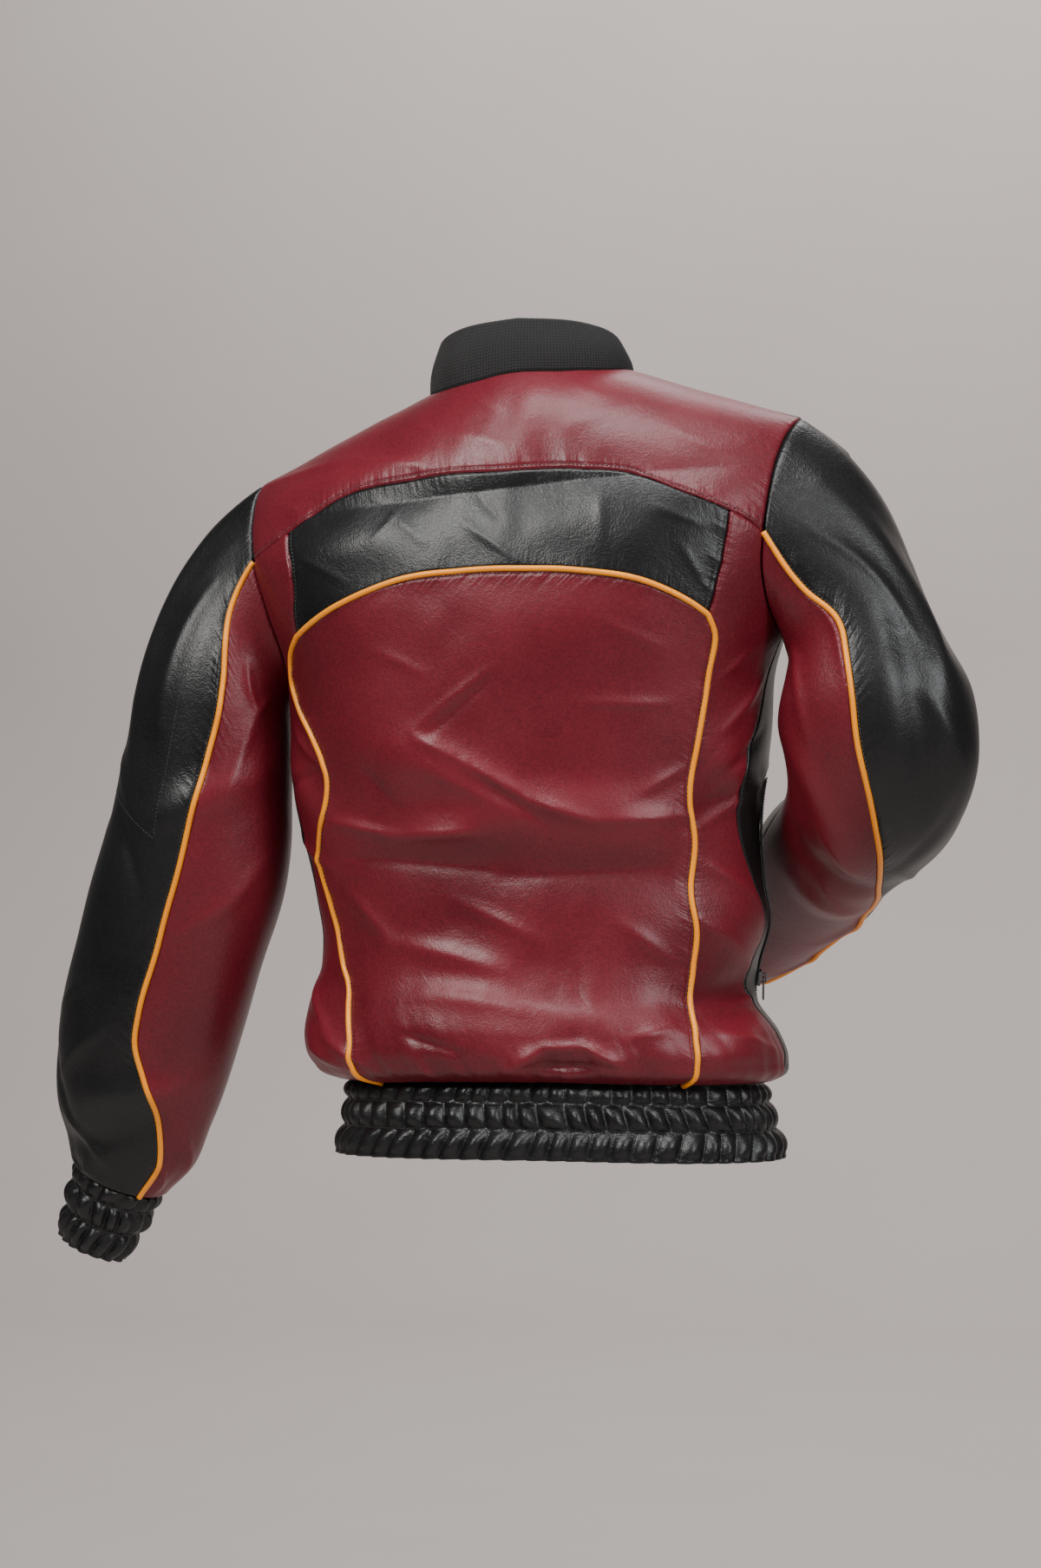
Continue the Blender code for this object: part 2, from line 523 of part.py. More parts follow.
def ring_wall(name, outer, inner, material):
    """Closed sleeve of rings whose last point meets the first: outside, inside and the two rims."""
    rows, columns = outer.shape[:2]
    count = rows * columns
    index = np.arange(count).reshape(rows, columns)
    after = np.roll(index, -1, axis=1)
    face = triangles(index[:-1], index[1:], after[1:], after[:-1])
    top = triangles(index[0], after[0], after[0] + count, index[0] + count)
    bottom = triangles(index[-1], index[-1] + count, after[-1] + count, after[-1])
    faces = np.concatenate((face, face[:, ::-1] + count, top, bottom))
    normal = np.cross(outer[1:] - outer[:-1], np.roll(outer, -1, axis=1)[:-1] - outer[:-1])
    if np.sum(normal * (outer - inner)[:-1]) < 0.0:
        faces = faces[:, ::-1]
    points = np.concatenate((outer.reshape(-1, 3), inner.reshape(-1, 3)))
    return make_piece(name, points, faces.tolist(), material)


# Seam lines that panels share
yoke_seam = np.vstack((seam(YOKE_SIDE_LEFT, YOKE_SIDE_CELLS), seam(YOKE_MIDDLE, ARCH_CELLS)[1:],
                       seam(YOKE_SIDE_RIGHT, YOKE_SIDE_CELLS)[1:]))
arch = seam(ARCH, ARCH_CELLS)
black_edges = {-1: seam(BLACK_EDGE_LEFT, BLACK_ROWS), 1: seam(BLACK_EDGE_RIGHT, BLACK_ROWS)}
piping_sides = {-1: seam(PIPING_LEFT, PIPING_ROWS), 1: seam(PIPING_RIGHT, PIPING_ROWS)}
side_seams = {-1: seam(SIDE_SEAM_LEFT, SIDE_ROWS), 1: seam(SIDE_SEAM_RIGHT, SIDE_ROWS)}
NECK_TURNS = np.linspace(-90.0, 90.0, NECK_CELLS + 1)
back_neck = neckline(NECK_TURNS * 0.9999)
hole_rounds = {}
for side in (-1, 1):
    yoke_end = YOKE_AT_ARMHOLE[side]
    hole_rounds[side] = {
        "yoke": np.linspace(0.0, yoke_end, YOKE_ROWS + 1),
        "under": np.linspace(yoke_end, 180.0, UNDERARM_ROWS + 1),
        "low": np.linspace(180.0, UNDERARM_FRONT, SLEEVE_FRONT_LOW + 1),
        "high": np.linspace(UNDERARM_FRONT, 360.0, SLEEVE_FRONT_HIGH + 1),
    }


def hole_places(side, part, front=False):
    """Places on the body along part of the armhole; the last of the front is the shoulder tip."""
    rounds = hole_rounds[side][part].copy()
    if front:
        rounds[rounds == 360.0] = 359.999
    return armhole(side, rounds)


def mitre(side, rounds):
    """Shared slant of the armhole seam: midway between the body's and the sleeve's directions."""
    rounds = np.where(np.asarray(rounds, float) == 360.0, 359.999, rounds)
    _, from_body = body(armhole(side, rounds))
    _, from_sleeve = sleeve(side, rounds, np.zeros_like(rounds))
    both = from_body + from_sleeve
    size = np.linalg.norm(both, axis=-1, keepdims=True)
    slant = both / size
    fit = np.clip(np.sum(slant * from_body, axis=-1, keepdims=True), 0.95, 1.0)
    return slant / fit


# Back yoke: over the shoulders, from the collar and shoulder seams to the arched seam
def make_yoke():
    top = np.vstack((shoulder_line(-1, False)[::-1], back_neck[1:-1], shoulder_line(1, False)))
    left, right = hole_places(-1, "yoke"), hole_places(1, "yoke")
    lower = yoke_seam.copy()
    lower[0], lower[-1] = left[-1], right[-1]
    point, normal = body(patch(top, lower, left, right))
    mitres = ((np.s_[:, 0], mitre(-1, hole_rounds[-1]["yoke"])),
              (np.s_[:, -1], mitre(1, hole_rounds[1]["yoke"])))
    sew("back_yoke", point, normal, RED_LEATHER,
        {"top": SEAM, "bottom": SEAM, "left": SEAM, "right": SEAM}, mitres)


# Black panel between the yoke and the arch
def make_upper_panel():
    top = yoke_seam[YOKE_SIDE_CELLS:YOKE_SIDE_CELLS + ARCH_CELLS + 1]
    point, normal = body(patch(top, arch, black_edges[-1], black_edges[1]))
    sew("back_upper_panel", point, normal, BLACK_LEATHER,
        {"top": SEAM, "bottom": PIPING_RADIUS + CLEAR, "left": SEAM, "right": SEAM})


# Centre back, inside the piping
def make_centre_panel():
    hem = np.column_stack((np.linspace(piping_sides[-1][-1, 0], piping_sides[1][-1, 0], ARCH_CELLS + 1),
                           np.full(ARCH_CELLS + 1, BODY_ROWS[0][0])))
    point, normal = body(patch(arch, hem, piping_sides[-1], piping_sides[1]))
    inset = PIPING_RADIUS + CLEAR
    sew("back_centre_panel", point, normal, RED_LEATHER,
        {"top": inset, "left": inset, "right": inset, "bottom": SEAM})


# Side backs: from the yoke seam down past the armhole to the waist
def make_side_panel(side):
    inner = np.vstack((black_edges[side], piping_sides[side][1:]))
    outer = np.vstack((hole_places(side, "under"), side_seams[side][1:]))
    top = yoke_seam[:YOKE_SIDE_CELLS + 1][::-1] if side < 0 else yoke_seam[-YOKE_SIDE_CELLS - 1:]
    top = top.copy()
    top[-1] = outer[0]
    hem = np.column_stack((np.linspace(inner[-1, 0], outer[-1, 0], YOKE_SIDE_CELLS + 1),
                           np.full(YOKE_SIDE_CELLS + 1, BODY_ROWS[0][0])))
    point, normal = body(patch(top, hem, inner, outer))
    # the inner edge stands off the piping below the arch's corner, and only a seam's gap above it
    beside = edge_inset(point, 1.0, "left")
    gap = np.where(np.arange(len(inner)) < BLACK_ROWS, SEAM, PIPING_RADIUS + CLEAR)
    moved = point + beside * gap[:, None, None]
    back = -normal * WALL
    back[:UNDERARM_ROWS + 1, -1] = -mitre(side, hole_rounds[side]["under"]) * WALL
    outer_grid = moved + sum(edge_inset(point, SEAM, edge) for edge in ("top", "right", "bottom"))
    wall("back_side_" + SIDE_NAMES[side], outer_grid, outer_grid + back, RED_LEATHER)


def centre_front(side):
    """Places down the centre front, from the neckline to the waist."""
    rows = SLEEVE_FRONT_LOW + SLEEVE_FRONT_HIGH + SIDE_ROWS - NECK_FRONT_CELLS + 1
    top = neckline([side * 179.999])[0, 1]
    return np.column_stack((np.full(rows, side * 179.999), np.linspace(top, BODY_ROWS[0][0], rows)))


# Fronts: from the shoulder seam to the waist, closed by the zip at the centre front
def make_front(side):
    top = shoulder_line(side, True)[::-1]
    neck = neckline(side * np.linspace(90.001, 179.999, NECK_FRONT_CELLS + 1))
    inner = np.vstack((neck, centre_front(side)[1:]))
    hole = np.vstack((hole_places(side, "high", True)[::-1], hole_places(side, "low")[::-1][1:]))
    outer = np.vstack((hole, side_seams[side][1:]))
    hem = np.column_stack((np.linspace(outer[-1, 0], inner[-1, 0], SHOULDER_CELLS + 1),
                           np.full(SHOULDER_CELLS + 1, BODY_ROWS[0][0])))
    point, normal = body(patch(top, hem, outer, inner))
    rounds = np.concatenate((hole_rounds[side]["high"][::-1], hole_rounds[side]["low"][::-1][1:]))
    back = -normal * WALL
    back[:len(rounds), 0] = -mitre(side, rounds) * WALL
    beside = edge_inset(point, SEAM, "right")
    beside[NECK_FRONT_CELLS:, -1] = (side * ZIP_OPENING, 0.0, 0.0)
    grid = point + beside + sum(edge_inset(point, SEAM, edge) for edge in ("top", "left", "bottom"))
    wall("front_" + SIDE_NAMES[side], grid, grid + back, BLACK_LEATHER)


SIDE_NAMES = {-1: "left", 1: "right"}


# Piping round the centre back: a cord in the seam, standing proud of the leather by its radius
def make_back_piping():
    line = np.vstack((piping_sides[-1][::-1], arch[1:-1], piping_sides[1]))
    point, normal = body(line)
    tube("back_piping", point, normal, PIPING_RADIUS, PIPING_SIDES, ORANGE_PIPING)


# Sleeves: a black outer piece and a red under piece, with piping in the back seam only
def sleeve_grid(side, start, end, rounds):
    """Grid down a sleeve between two seams; its top row lies at the armhole's own stations."""
    length = stations(side)[-1, 0]
    share = (rounds - rounds[0]) / (rounds[-1] - rounds[0])
    down = np.linspace(0.0, 1.0, SLEEVE_ROWS + 1)
    first, last = table(start, down)[:, 0], table(end, down)[:, 0]
    around = first[:, None] + (last - first)[:, None] * share[None]
    return around, np.broadcast_to(down[:, None] * length, around.shape).copy()


def make_sleeve(side):
    parts = hole_rounds[side]
    back_seam, front_seam = np.array(BACK_SEAM[side]), np.array(FRONT_SEAM[side])
    front_behind = front_seam - np.array((0.0, 360.0))
    outer_rounds = np.concatenate((parts["high"] - 360.0, parts["yoke"][1:]))
    under_rounds = np.concatenate((parts["under"], parts["low"][1:]))
    inset = PIPING_RADIUS + 2.6 * CLEAR
    for name, material, start, end, rounds, corner, inner, insets in (
            ("sleeve_outer_", BLACK_LEATHER, front_behind, back_seam, outer_rounds, -1, -2,
             {"left": SEAM, "right": inset, "bottom": SEAM}),
            ("sleeve_under_", RED_LEATHER, back_seam, front_seam, under_rounds, 0, 1,
             {"left": inset, "right": SEAM, "bottom": SEAM})):
        around, down = sleeve_grid(side, start, end, rounds)
        point, normal = sleeve(side, around, down)
        moved = point + sum(edge_inset(point, depth, edge) for edge, depth in insets.items())
        # the corner beside the piping stays on the armhole's own line
        chord = point[0, inner] - point[0, corner]
        moved[0, corner] = point[0, corner] + chord * inset / np.linalg.norm(chord)
        back = -normal * WALL
        back[0] = -mitre(side, np.mod(rounds, 360.0)) * WALL
        wall(name + SIDE_NAMES[side], moved, moved + back, material)
    share = np.linspace(0.0, 1.0, SLEEVE_ROWS + 1)
    length = stations(side)[-1, 0]
    line, normal = sleeve(side, table(back_seam, share)[:, 0], share * length)
    line[0] = line[1] + (line[0] - line[1]) * 0.7
    tube("sleeve_piping_" + SIDE_NAMES[side], line, normal, PIPING_RADIUS, PIPING_SIDES, ORANGE_PIPING)


# Gathered leather on elastic: a plain inside and puffs outside that alternate from row to row
def gathered(base, out, gathers):
    """Outer grid of a band: each puff row stands off the base ring and waves in and out."""
    puffs = np.asarray(BAND_PUFFS)
    share = np.arange(base.shape[1])
    wave = np.where(share % 2 == 0, 1.0, -1.0)
    turned = np.where(np.arange(len(puffs)) // 2 % 2 == 0, 1.0, -1.0)
    stand = puffs[:, 1:2] + puffs[:, 2:3] * turned[:, None] * wave[None]
    return base + out * stand[..., None]


def waist_base(angle, share):
    """Base ring of the waistband and its outward direction, at a share of the band's depth."""
    height = WAIST_ROWS[-1][0] + (WAIST_ROWS[0][0] - WAIST_ROWS[-1][0]) * share

    def at(turn):
        ring = table(WAIST_ROWS, height)
        centre, wide, back, front = [ring[..., k] for k in range(4)]
        sine, cosine = np.sin(np.radians(turn)), np.cos(np.radians(turn))
        deep = np.where(cosine > 0.0, back, front)
        reach = (np.abs(sine / wide)**WAIST_SQUARE + np.abs(cosine / deep)**WAIST_SQUARE)
        reach = reach**(-1.0 / WAIST_SQUARE)
        return np.stack((centre + reach * sine, -reach * cosine, height + HEM_RISE * cosine), axis=-1)

    along = at(angle + 0.05) - at(angle - 0.05)
    out = np.stack((along[..., 1], -along[..., 0], np.zeros_like(height)), axis=-1)
    return at(angle), out / np.linalg.norm(out, axis=-1, keepdims=True)


def make_waistband():
    half_gap = math.degrees(ZIP_OPENING / WAIST_ROWS[1][4])
    angle = np.linspace(-180.0 + half_gap, 180.0 - half_gap, 2 * WAIST_GATHERS + 1)
    share = np.asarray(BAND_PUFFS)[:, 0]
    base, out = waist_base(*np.meshgrid(angle, share))
    wall("waistband", gathered(base, out, WAIST_GATHERS), base - out * WALL, BLACK_LEATHER)


def make_cuff(side):
    rows = stations(side)
    start, end = rows[-1, 1:4], np.array(CUFF_END[side])
    along = (end - start) / np.linalg.norm(end - start)
    out = np.array((side, 0.0, 0.0)) - along * side * along[0]
    out /= np.linalg.norm(out)
    back = side * np.cross(along, out)
    share = np.asarray(BAND_PUFFS)[:, 0][:, None, None]
    turn = np.radians(np.arange(2 * CUFF_GATHERS) * 180.0 / CUFF_GATHERS)[None, :, None]
    radial = out * np.cos(turn) + back * np.sin(turn)
    half = CUFF_START_HALF + (CUFF_END_HALF - CUFF_START_HALF) * share
    middle = start + along * 2 * CLEAR + (end - start - along * 2 * CLEAR) * share
    radial = np.broadcast_to(radial, (len(BAND_PUFFS),) + radial.shape[1:])
    base = middle + radial * half
    ring_wall("cuff_" + SIDE_NAMES[side], gathered(base, radial, CUFF_GATHERS), base - radial * WALL,
              BLACK_LEATHER)


# Rib-knit collar: stands up from the neckline, open at the centre front
def make_collar():
    front = np.linspace(90.0, 180.0, NECK_FRONT_CELLS + 1)[1:]
    turns = np.concatenate((-front[::-1], NECK_TURNS, front))
    seam_points, lift = body(neckline(np.clip(turns * 0.99999, -179.999, 179.999)))
    radians = np.radians(turns)
    deep = np.where(np.cos(radians) > 0.0, COLLAR_TOP_BACK, COLLAR_TOP_FRONT)
    height = table(COLLAR_TOP_HEIGHTS, np.abs(turns))[:, 0]
    x = COLLAR_TOP_HALF_WIDTH * np.sin(radians)
    top = np.column_stack((x, -deep * np.cos(radians), height + TILT * x * 0.3))
    away = np.column_stack((np.sin(radians), -np.cos(radians), np.zeros_like(radians)))
    low = seam_points + lift * 2 * CLEAR
    share = np.linspace(0.0, 1.0, 5)[:, None, None]
    bow = 0.0025 * np.sin(math.pi * share)
    outer = low[None] * (1 - share) + top[None] * share + away[None] * bow
    inner = outer - away[None] * RIB_WALL
    for grid in (outer, inner):
        grid[:, 0, 0], grid[:, -1, 0] = -COLLAR_FRONT_GAP, COLLAR_FRONT_GAP
    wall("collar", outer, inner, BLACK_RIB)


# Zips: a strip for tape and chain, a slider with a bridge, and a pull tab hung under the bridge
def strap(name, path, normal, half_width, thickness, material):
    """Flat strip along a path: its face is out along the normals, and its width is across both."""
    along = np.gradient(path, axis=0)
    along /= np.linalg.norm(along, axis=-1, keepdims=True)
    across = np.cross(along, normal)
    across /= np.linalg.norm(across, axis=-1, keepdims=True)
    outer = np.stack((path - across * half_width, path + across * half_width), axis=1)
    return wall(name, outer, outer - normal[:, None] * thickness, material)


BASE_HALF_LENGTH, BASE_HALF_WIDTH, BASE_HEIGHT = 0.0062, 0.0048, 0.0026
BRIDGE_HALF_LENGTH, BRIDGE_HALF_WIDTH, BRIDGE_HEIGHT = 0.0042, 0.0014, 0.0078
BRIDGE_BAR = 0.0014
PULL_HEIGHT = 0.0048         # hinge above the slider's foot
PULL_HALF_WIDTH, PULL_THICKNESS, PULL_BAR = 0.0036, 0.0014, 0.0013
WINDOW_HALF_WIDTH, WINDOW_LENGTH, PULL_LENGTH = 0.0021, 0.0046, 0.0185


def prism(name, outline, half_width, frame, material):
    """Outline in the plane of up and out, drawn as wide as asked across it, then put in its frame."""
    count = len(outline)
    points = [(side * half_width, out, up) for side in (-1, 1) for up, out in outline]
    faces = [list(range(count)), list(range(2 * count - 1, count - 1, -1))]
    faces += [[k, k + count, (k + 1) % count + count, (k + 1) % count] for k in range(count)]
    piece = make_piece(name, points, faces, material)
    solid = bmesh.new()
    solid.from_mesh(piece.data)
    bmesh.ops.recalc_face_normals(solid, faces=solid.faces)
    solid.to_mesh(piece.data)
    solid.free()
    piece.data.shade_flat()
    piece.matrix_world = frame
    return piece


def slider_frame(path, normal, row):
    """Frame at the slider's foot on a zip: z up along it, y straight out from the cloth, x across.

    The foot stands off the zip so that the slider's base clears the faces above and below it.
    """
    up = Vector(path[row - 1] - path[row + 1]).normalized()
    out = Vector(normal[row])
    out = (out - up * out.dot(up)).normalized()
    rise = 0.0
    for other in (path[row - 1], path[row + 1]):
        away = Vector(other - path[row])
        rise = max(rise, away.dot(out) * BASE_HALF_LENGTH / away.length)
    frame = Matrix((out.cross(up), out, up)).transposed().to_4x4()
    frame.translation = Vector(path[row]) + out * (rise + 2 * CLEAR)
    return frame


def make_slider(name, frame):
    base = ((-BASE_HALF_LENGTH, 0.0), (-BASE_HALF_LENGTH, BASE_HEIGHT), (BASE_HALF_LENGTH, BASE_HEIGHT),
            (BASE_HALF_LENGTH, 0.0))
    inside = BRIDGE_HALF_LENGTH - BRIDGE_BAR
    low = BASE_HEIGHT * 0.5
    crown = BRIDGE_HEIGHT - BRIDGE_BAR
    shoulder = 0.0012
    bridge = ((-BRIDGE_HALF_LENGTH, low), (-BRIDGE_HALF_LENGTH, BRIDGE_HEIGHT - shoulder),
              (-BRIDGE_HALF_LENGTH + shoulder, BRIDGE_HEIGHT),
              (BRIDGE_HALF_LENGTH - shoulder, BRIDGE_HEIGHT),
              (BRIDGE_HALF_LENGTH, BRIDGE_HEIGHT - shoulder), (BRIDGE_HALF_LENGTH, low),
              (inside, low), (inside, crown), (-inside, crown), (-inside, low))
    slider = prism(name, base, BASE_HALF_WIDTH, frame, ZIP_METAL)
    arch_piece = prism(name + "_bridge_guide", bridge, BRIDGE_HALF_WIDTH, frame, ZIP_METAL)
    arch_piece.hide_render = True
    arch_piece.display_type = "WIRE"
    joined = slider.modifiers.new("bridge", "BOOLEAN")
    joined.operation = "UNION"
    joined.solver = "EXACT"
    joined.object = arch_piece


def make_pull(name, frame):
    """Plate with a window for the bridge: rails, a bar at the hinge, and an end tapered below.

    It lies along the cloth where its weight presses it there, and else it hangs plumb.
    """
    tilt = max(0.0, math.atan2(-frame[2][1], frame[2][2]))
    middle = frame @ Matrix.Translation((0.0, PULL_HEIGHT, 0.0)) @ Matrix.Rotation(tilt, 4, "X")
    window_top, window_low = -PULL_BAR / 2, -PULL_BAR / 2 - WINDOW_LENGTH
    wide, tip = PULL_HALF_WIDTH, PULL_HALF_WIDTH * 0.72
    low = -PULL_LENGTH
    outline = ((-wide, PULL_BAR / 2), (wide, PULL_BAR / 2), (wide, window_low), (tip, low), (-tip, low),
               (-wide, window_low))
    hole = ((-WINDOW_HALF_WIDTH, window_top), (WINDOW_HALF_WIDTH, window_top),
            (WINDOW_HALF_WIDTH, window_low + 0.0004), (-WINDOW_HALF_WIDTH, window_low + 0.0004))
    flat = bmesh.new()
    ring = [flat.verts.new((x, 0.0, z)) for x, z in outline]
    eye = [flat.verts.new((x, 0.0, z)) for x, z in hole]
    quads = ((ring[0], ring[1], eye[1], eye[0]), (ring[1], ring[2], eye[2], eye[1]),
             (ring[5], ring[0], eye[0], eye[3]), (ring[2], ring[5], eye[3], eye[2]),
             (ring[2], ring[3], ring[4], ring[5]))
    faces = [flat.faces.new(quad) for quad in quads]
    bmesh.ops.recalc_face_normals(flat, faces=faces)
    grown = bmesh.ops.extrude_face_region(flat, geom=faces)
    moved = [item for item in grown["geom"] if isinstance(item, bmesh.types.BMVert)]
    bmesh.ops.translate(flat, verts=flat.verts, vec=(0.0, -PULL_THICKNESS / 2, 0.0))
    bmesh.ops.translate(flat, verts=moved, vec=(0.0, PULL_THICKNESS, 0.0))
    bmesh.ops.recalc_face_normals(flat, faces=flat.faces)
    mesh = bpy.data.meshes.new(name)
    flat.to_mesh(mesh)
    flat.free()
    mesh.materials.append(ZIP_METAL)
    pull = bpy.data.objects.new(name, mesh)
    bpy.context.scene.collection.objects.link(pull)
    pull.matrix_world = middle


POCKET_STAND = 0.0005        # the pocket zips' tapes lie this far above the fronts
POCKET_TOP = {"height": -0.325, "angle": 92.0}
POCKET_LOW = {"height": -0.490, "angle": 101.0}
POCKET_HALF_WIDTH = 0.0060
TAPE_THICKNESS = 0.0012
CHAIN_HALF_WIDTH = 0.0050
FRONT_TAPE_DEPTH = 0.0004    # the front zip lies this far under the leather's face


def make_front_zip():
    on_body, out_body = body(centre_front(1))
    on_band, out_band = waist_base(np.full(5, 180.0), np.linspace(0.02, 1.0, 5))
    path = np.vstack((on_body, on_band))
    out = np.vstack((out_body, out_band))
    path[0] += (path[1] - path[0]) * 0.35
    path -= out * FRONT_TAPE_DEPTH
    strap("front_zip", path, out, CHAIN_HALF_WIDTH, TAPE_THICKNESS, ZIP_TAPE)
    frame = slider_frame(path, out, 2)
    make_slider("front_zip_slider", frame)
    make_pull("front_zip_pull", frame)


def make_pocket_zip(side):
    share = np.linspace(0.0, 1.0, 13)
    height = POCKET_TOP["height"] + (POCKET_LOW["height"] - POCKET_TOP["height"]) * share
    angle = POCKET_TOP["angle"] + (POCKET_LOW["angle"] - POCKET_TOP["angle"]) * share
    point, normal = body(np.column_stack((side * angle, height)))
    lifted = point + normal * (POCKET_STAND + TAPE_THICKNESS)
    strap("pocket_zip_" + SIDE_NAMES[side], lifted, normal, POCKET_HALF_WIDTH, TAPE_THICKNESS, ZIP_TAPE)
    frame = slider_frame(lifted, normal, len(lifted) - 2)
    make_slider("pocket_zip_slider_" + SIDE_NAMES[side], frame)
    make_pull("pocket_zip_pull_" + SIDE_NAMES[side], frame)


make_yoke()
make_upper_panel()
make_centre_panel()
make_back_piping()
make_collar()
make_waistband()
make_front_zip()
for side in (-1, 1):
    make_side_panel(side)
    make_front(side)
    make_sleeve(side)
    make_cuff(side)
    make_pocket_zip(side)
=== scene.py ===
# Blouson leather jacket, worn: red and black leather with orange piping, a rib-knit collar and
# gathered waistband and cuffs. Every piece is a shell worked out on the same surfaces as the solids.
import math

import bmesh
import bpy
import numpy as np
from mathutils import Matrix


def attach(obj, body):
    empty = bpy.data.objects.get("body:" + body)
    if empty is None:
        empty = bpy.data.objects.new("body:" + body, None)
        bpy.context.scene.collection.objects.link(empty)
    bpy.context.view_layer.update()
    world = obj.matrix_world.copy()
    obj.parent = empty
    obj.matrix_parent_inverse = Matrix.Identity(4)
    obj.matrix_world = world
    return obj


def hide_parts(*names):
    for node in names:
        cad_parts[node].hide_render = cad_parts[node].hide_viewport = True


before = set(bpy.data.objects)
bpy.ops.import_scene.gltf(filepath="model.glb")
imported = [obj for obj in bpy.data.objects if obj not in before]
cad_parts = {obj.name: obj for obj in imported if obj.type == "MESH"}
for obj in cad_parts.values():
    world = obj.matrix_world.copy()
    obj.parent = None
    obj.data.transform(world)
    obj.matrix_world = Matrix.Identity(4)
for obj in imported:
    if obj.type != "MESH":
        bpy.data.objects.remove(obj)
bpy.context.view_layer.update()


# Back yoke: red leather cut in one piece over both shoulders, folded under and topstitched along
# its arched lower seam. The body's surface, shared by all body panels, is worked out here.
SIDE_NAMES = {-1: "left", 1: "right"}
TILT = 0.105                 # rise of the shoulder line towards the wearer's right
SHOULDER_TOP = 0.0443        # height of the shoulder line if it met over the neck
SHOULDER_SLOPE = math.tan(math.radians(22.0))
SHOULDER_TIP = 0.2268        # the shoulder line ends this far from the middle
NECK_ROUND = 0.030
ROUND_BACK = 0.12            # height over which the back rounds up to the shoulder line
ROUND_FRONT = 0.20           # the same for the chest
HEM_RISE = 0.006
GIRTH = 0.0031               # metres round the body for one degree
METRIC = np.array((GIRTH, 1.0))
HEM = -0.558                 # height of the seam to the waistband

# Rings of the body; the angle round one is 0 at the centre back, 90 at the right, 180 in front
# columns: height, centre_x, half_width, depth_back, depth_front, squareness
BODY_ROWS = (
    (-0.558, 0.0215, 0.1770, 0.112, 0.122, 2.3),
    (-0.553, 0.0195, 0.1880, 0.122, 0.131, 2.3),
    (-0.540, 0.0155, 0.1965, 0.130, 0.139, 2.3),
    (-0.520, 0.0100, 0.1955, 0.131, 0.139, 2.3),
    (-0.490, 0.0010, 0.1845, 0.122, 0.130, 2.3),
    (-0.467, 0.0060, 0.1820, 0.116, 0.126, 2.3),
    (-0.435, 0.0120, 0.1860, 0.113, 0.126, 2.3),
    (-0.400, 0.0070, 0.1860, 0.113, 0.127, 2.3),
    (-0.370, 0.0030, 0.1870, 0.115, 0.128, 2.3),
    (-0.330, 0.0000, 0.1930, 0.118, 0.128, 2.3),
    (-0.290, 0.0000, 0.1990, 0.123, 0.127, 2.3),
    (-0.235, 0.0010, 0.2020, 0.128, 0.126, 2.4),
    (-0.2115, 0.0040, 0.2060, 0.129, 0.123, 2.5),
    (-0.150, 0.0030, 0.2220, 0.127, 0.117, 2.7),
    (-0.110, 0.0010, 0.2330, 0.120, 0.110, 2.8),
    (-0.075, 0.0000, 0.2395, 0.108, 0.100, 2.9),
)

# Largest folds of the body, as in the solids
# columns: angle_from, height_from, angle_to, height_to, half_width, rise
BODY_FOLDS = (
    (-42, -0.27, -2, -0.322, 0.024, 0.007), (-2, -0.322, 56, -0.356, 0.022, 0.0075),
    (-40, -0.345, 10, -0.344, 0.016, 0.005), (-44, -0.368, 22, -0.384, 0.024, -0.006),
    (24, -0.384, 56, -0.396, 0.02, -0.0045), (66, -0.3, 84, -0.345, 0.016, 0.005),
    (60, -0.35, 84, -0.33, 0.014, -0.004), (62, -0.5, 84, -0.478, 0.018, -0.0055),
    (58, -0.535, 84, -0.505, 0.016, 0.0045), (-76, -0.27, -62, -0.33, 0.016, 0.0045),
    (-80, -0.515, -52, -0.545, 0.016, 0.0045), (-66, -0.47, -50, -0.505, 0.018, -0.0045),
    (6, -0.545, 26, -0.52, 0.012, -0.004), (-62, -0.052, -30, -0.04, 0.012, 0.0035),
    (120, -0.33, 156, -0.36, 0.022, 0.006), (110, -0.4, 150, -0.425, 0.02, -0.005),
    (-118, -0.31, -156, -0.35, 0.022, 0.006), (-112, -0.43, -150, -0.4, 0.02, -0.005),
    (122, -0.53, 156, -0.505, 0.016, 0.0045), (-122, -0.505, -156, -0.53, 0.016, 0.0045),
)

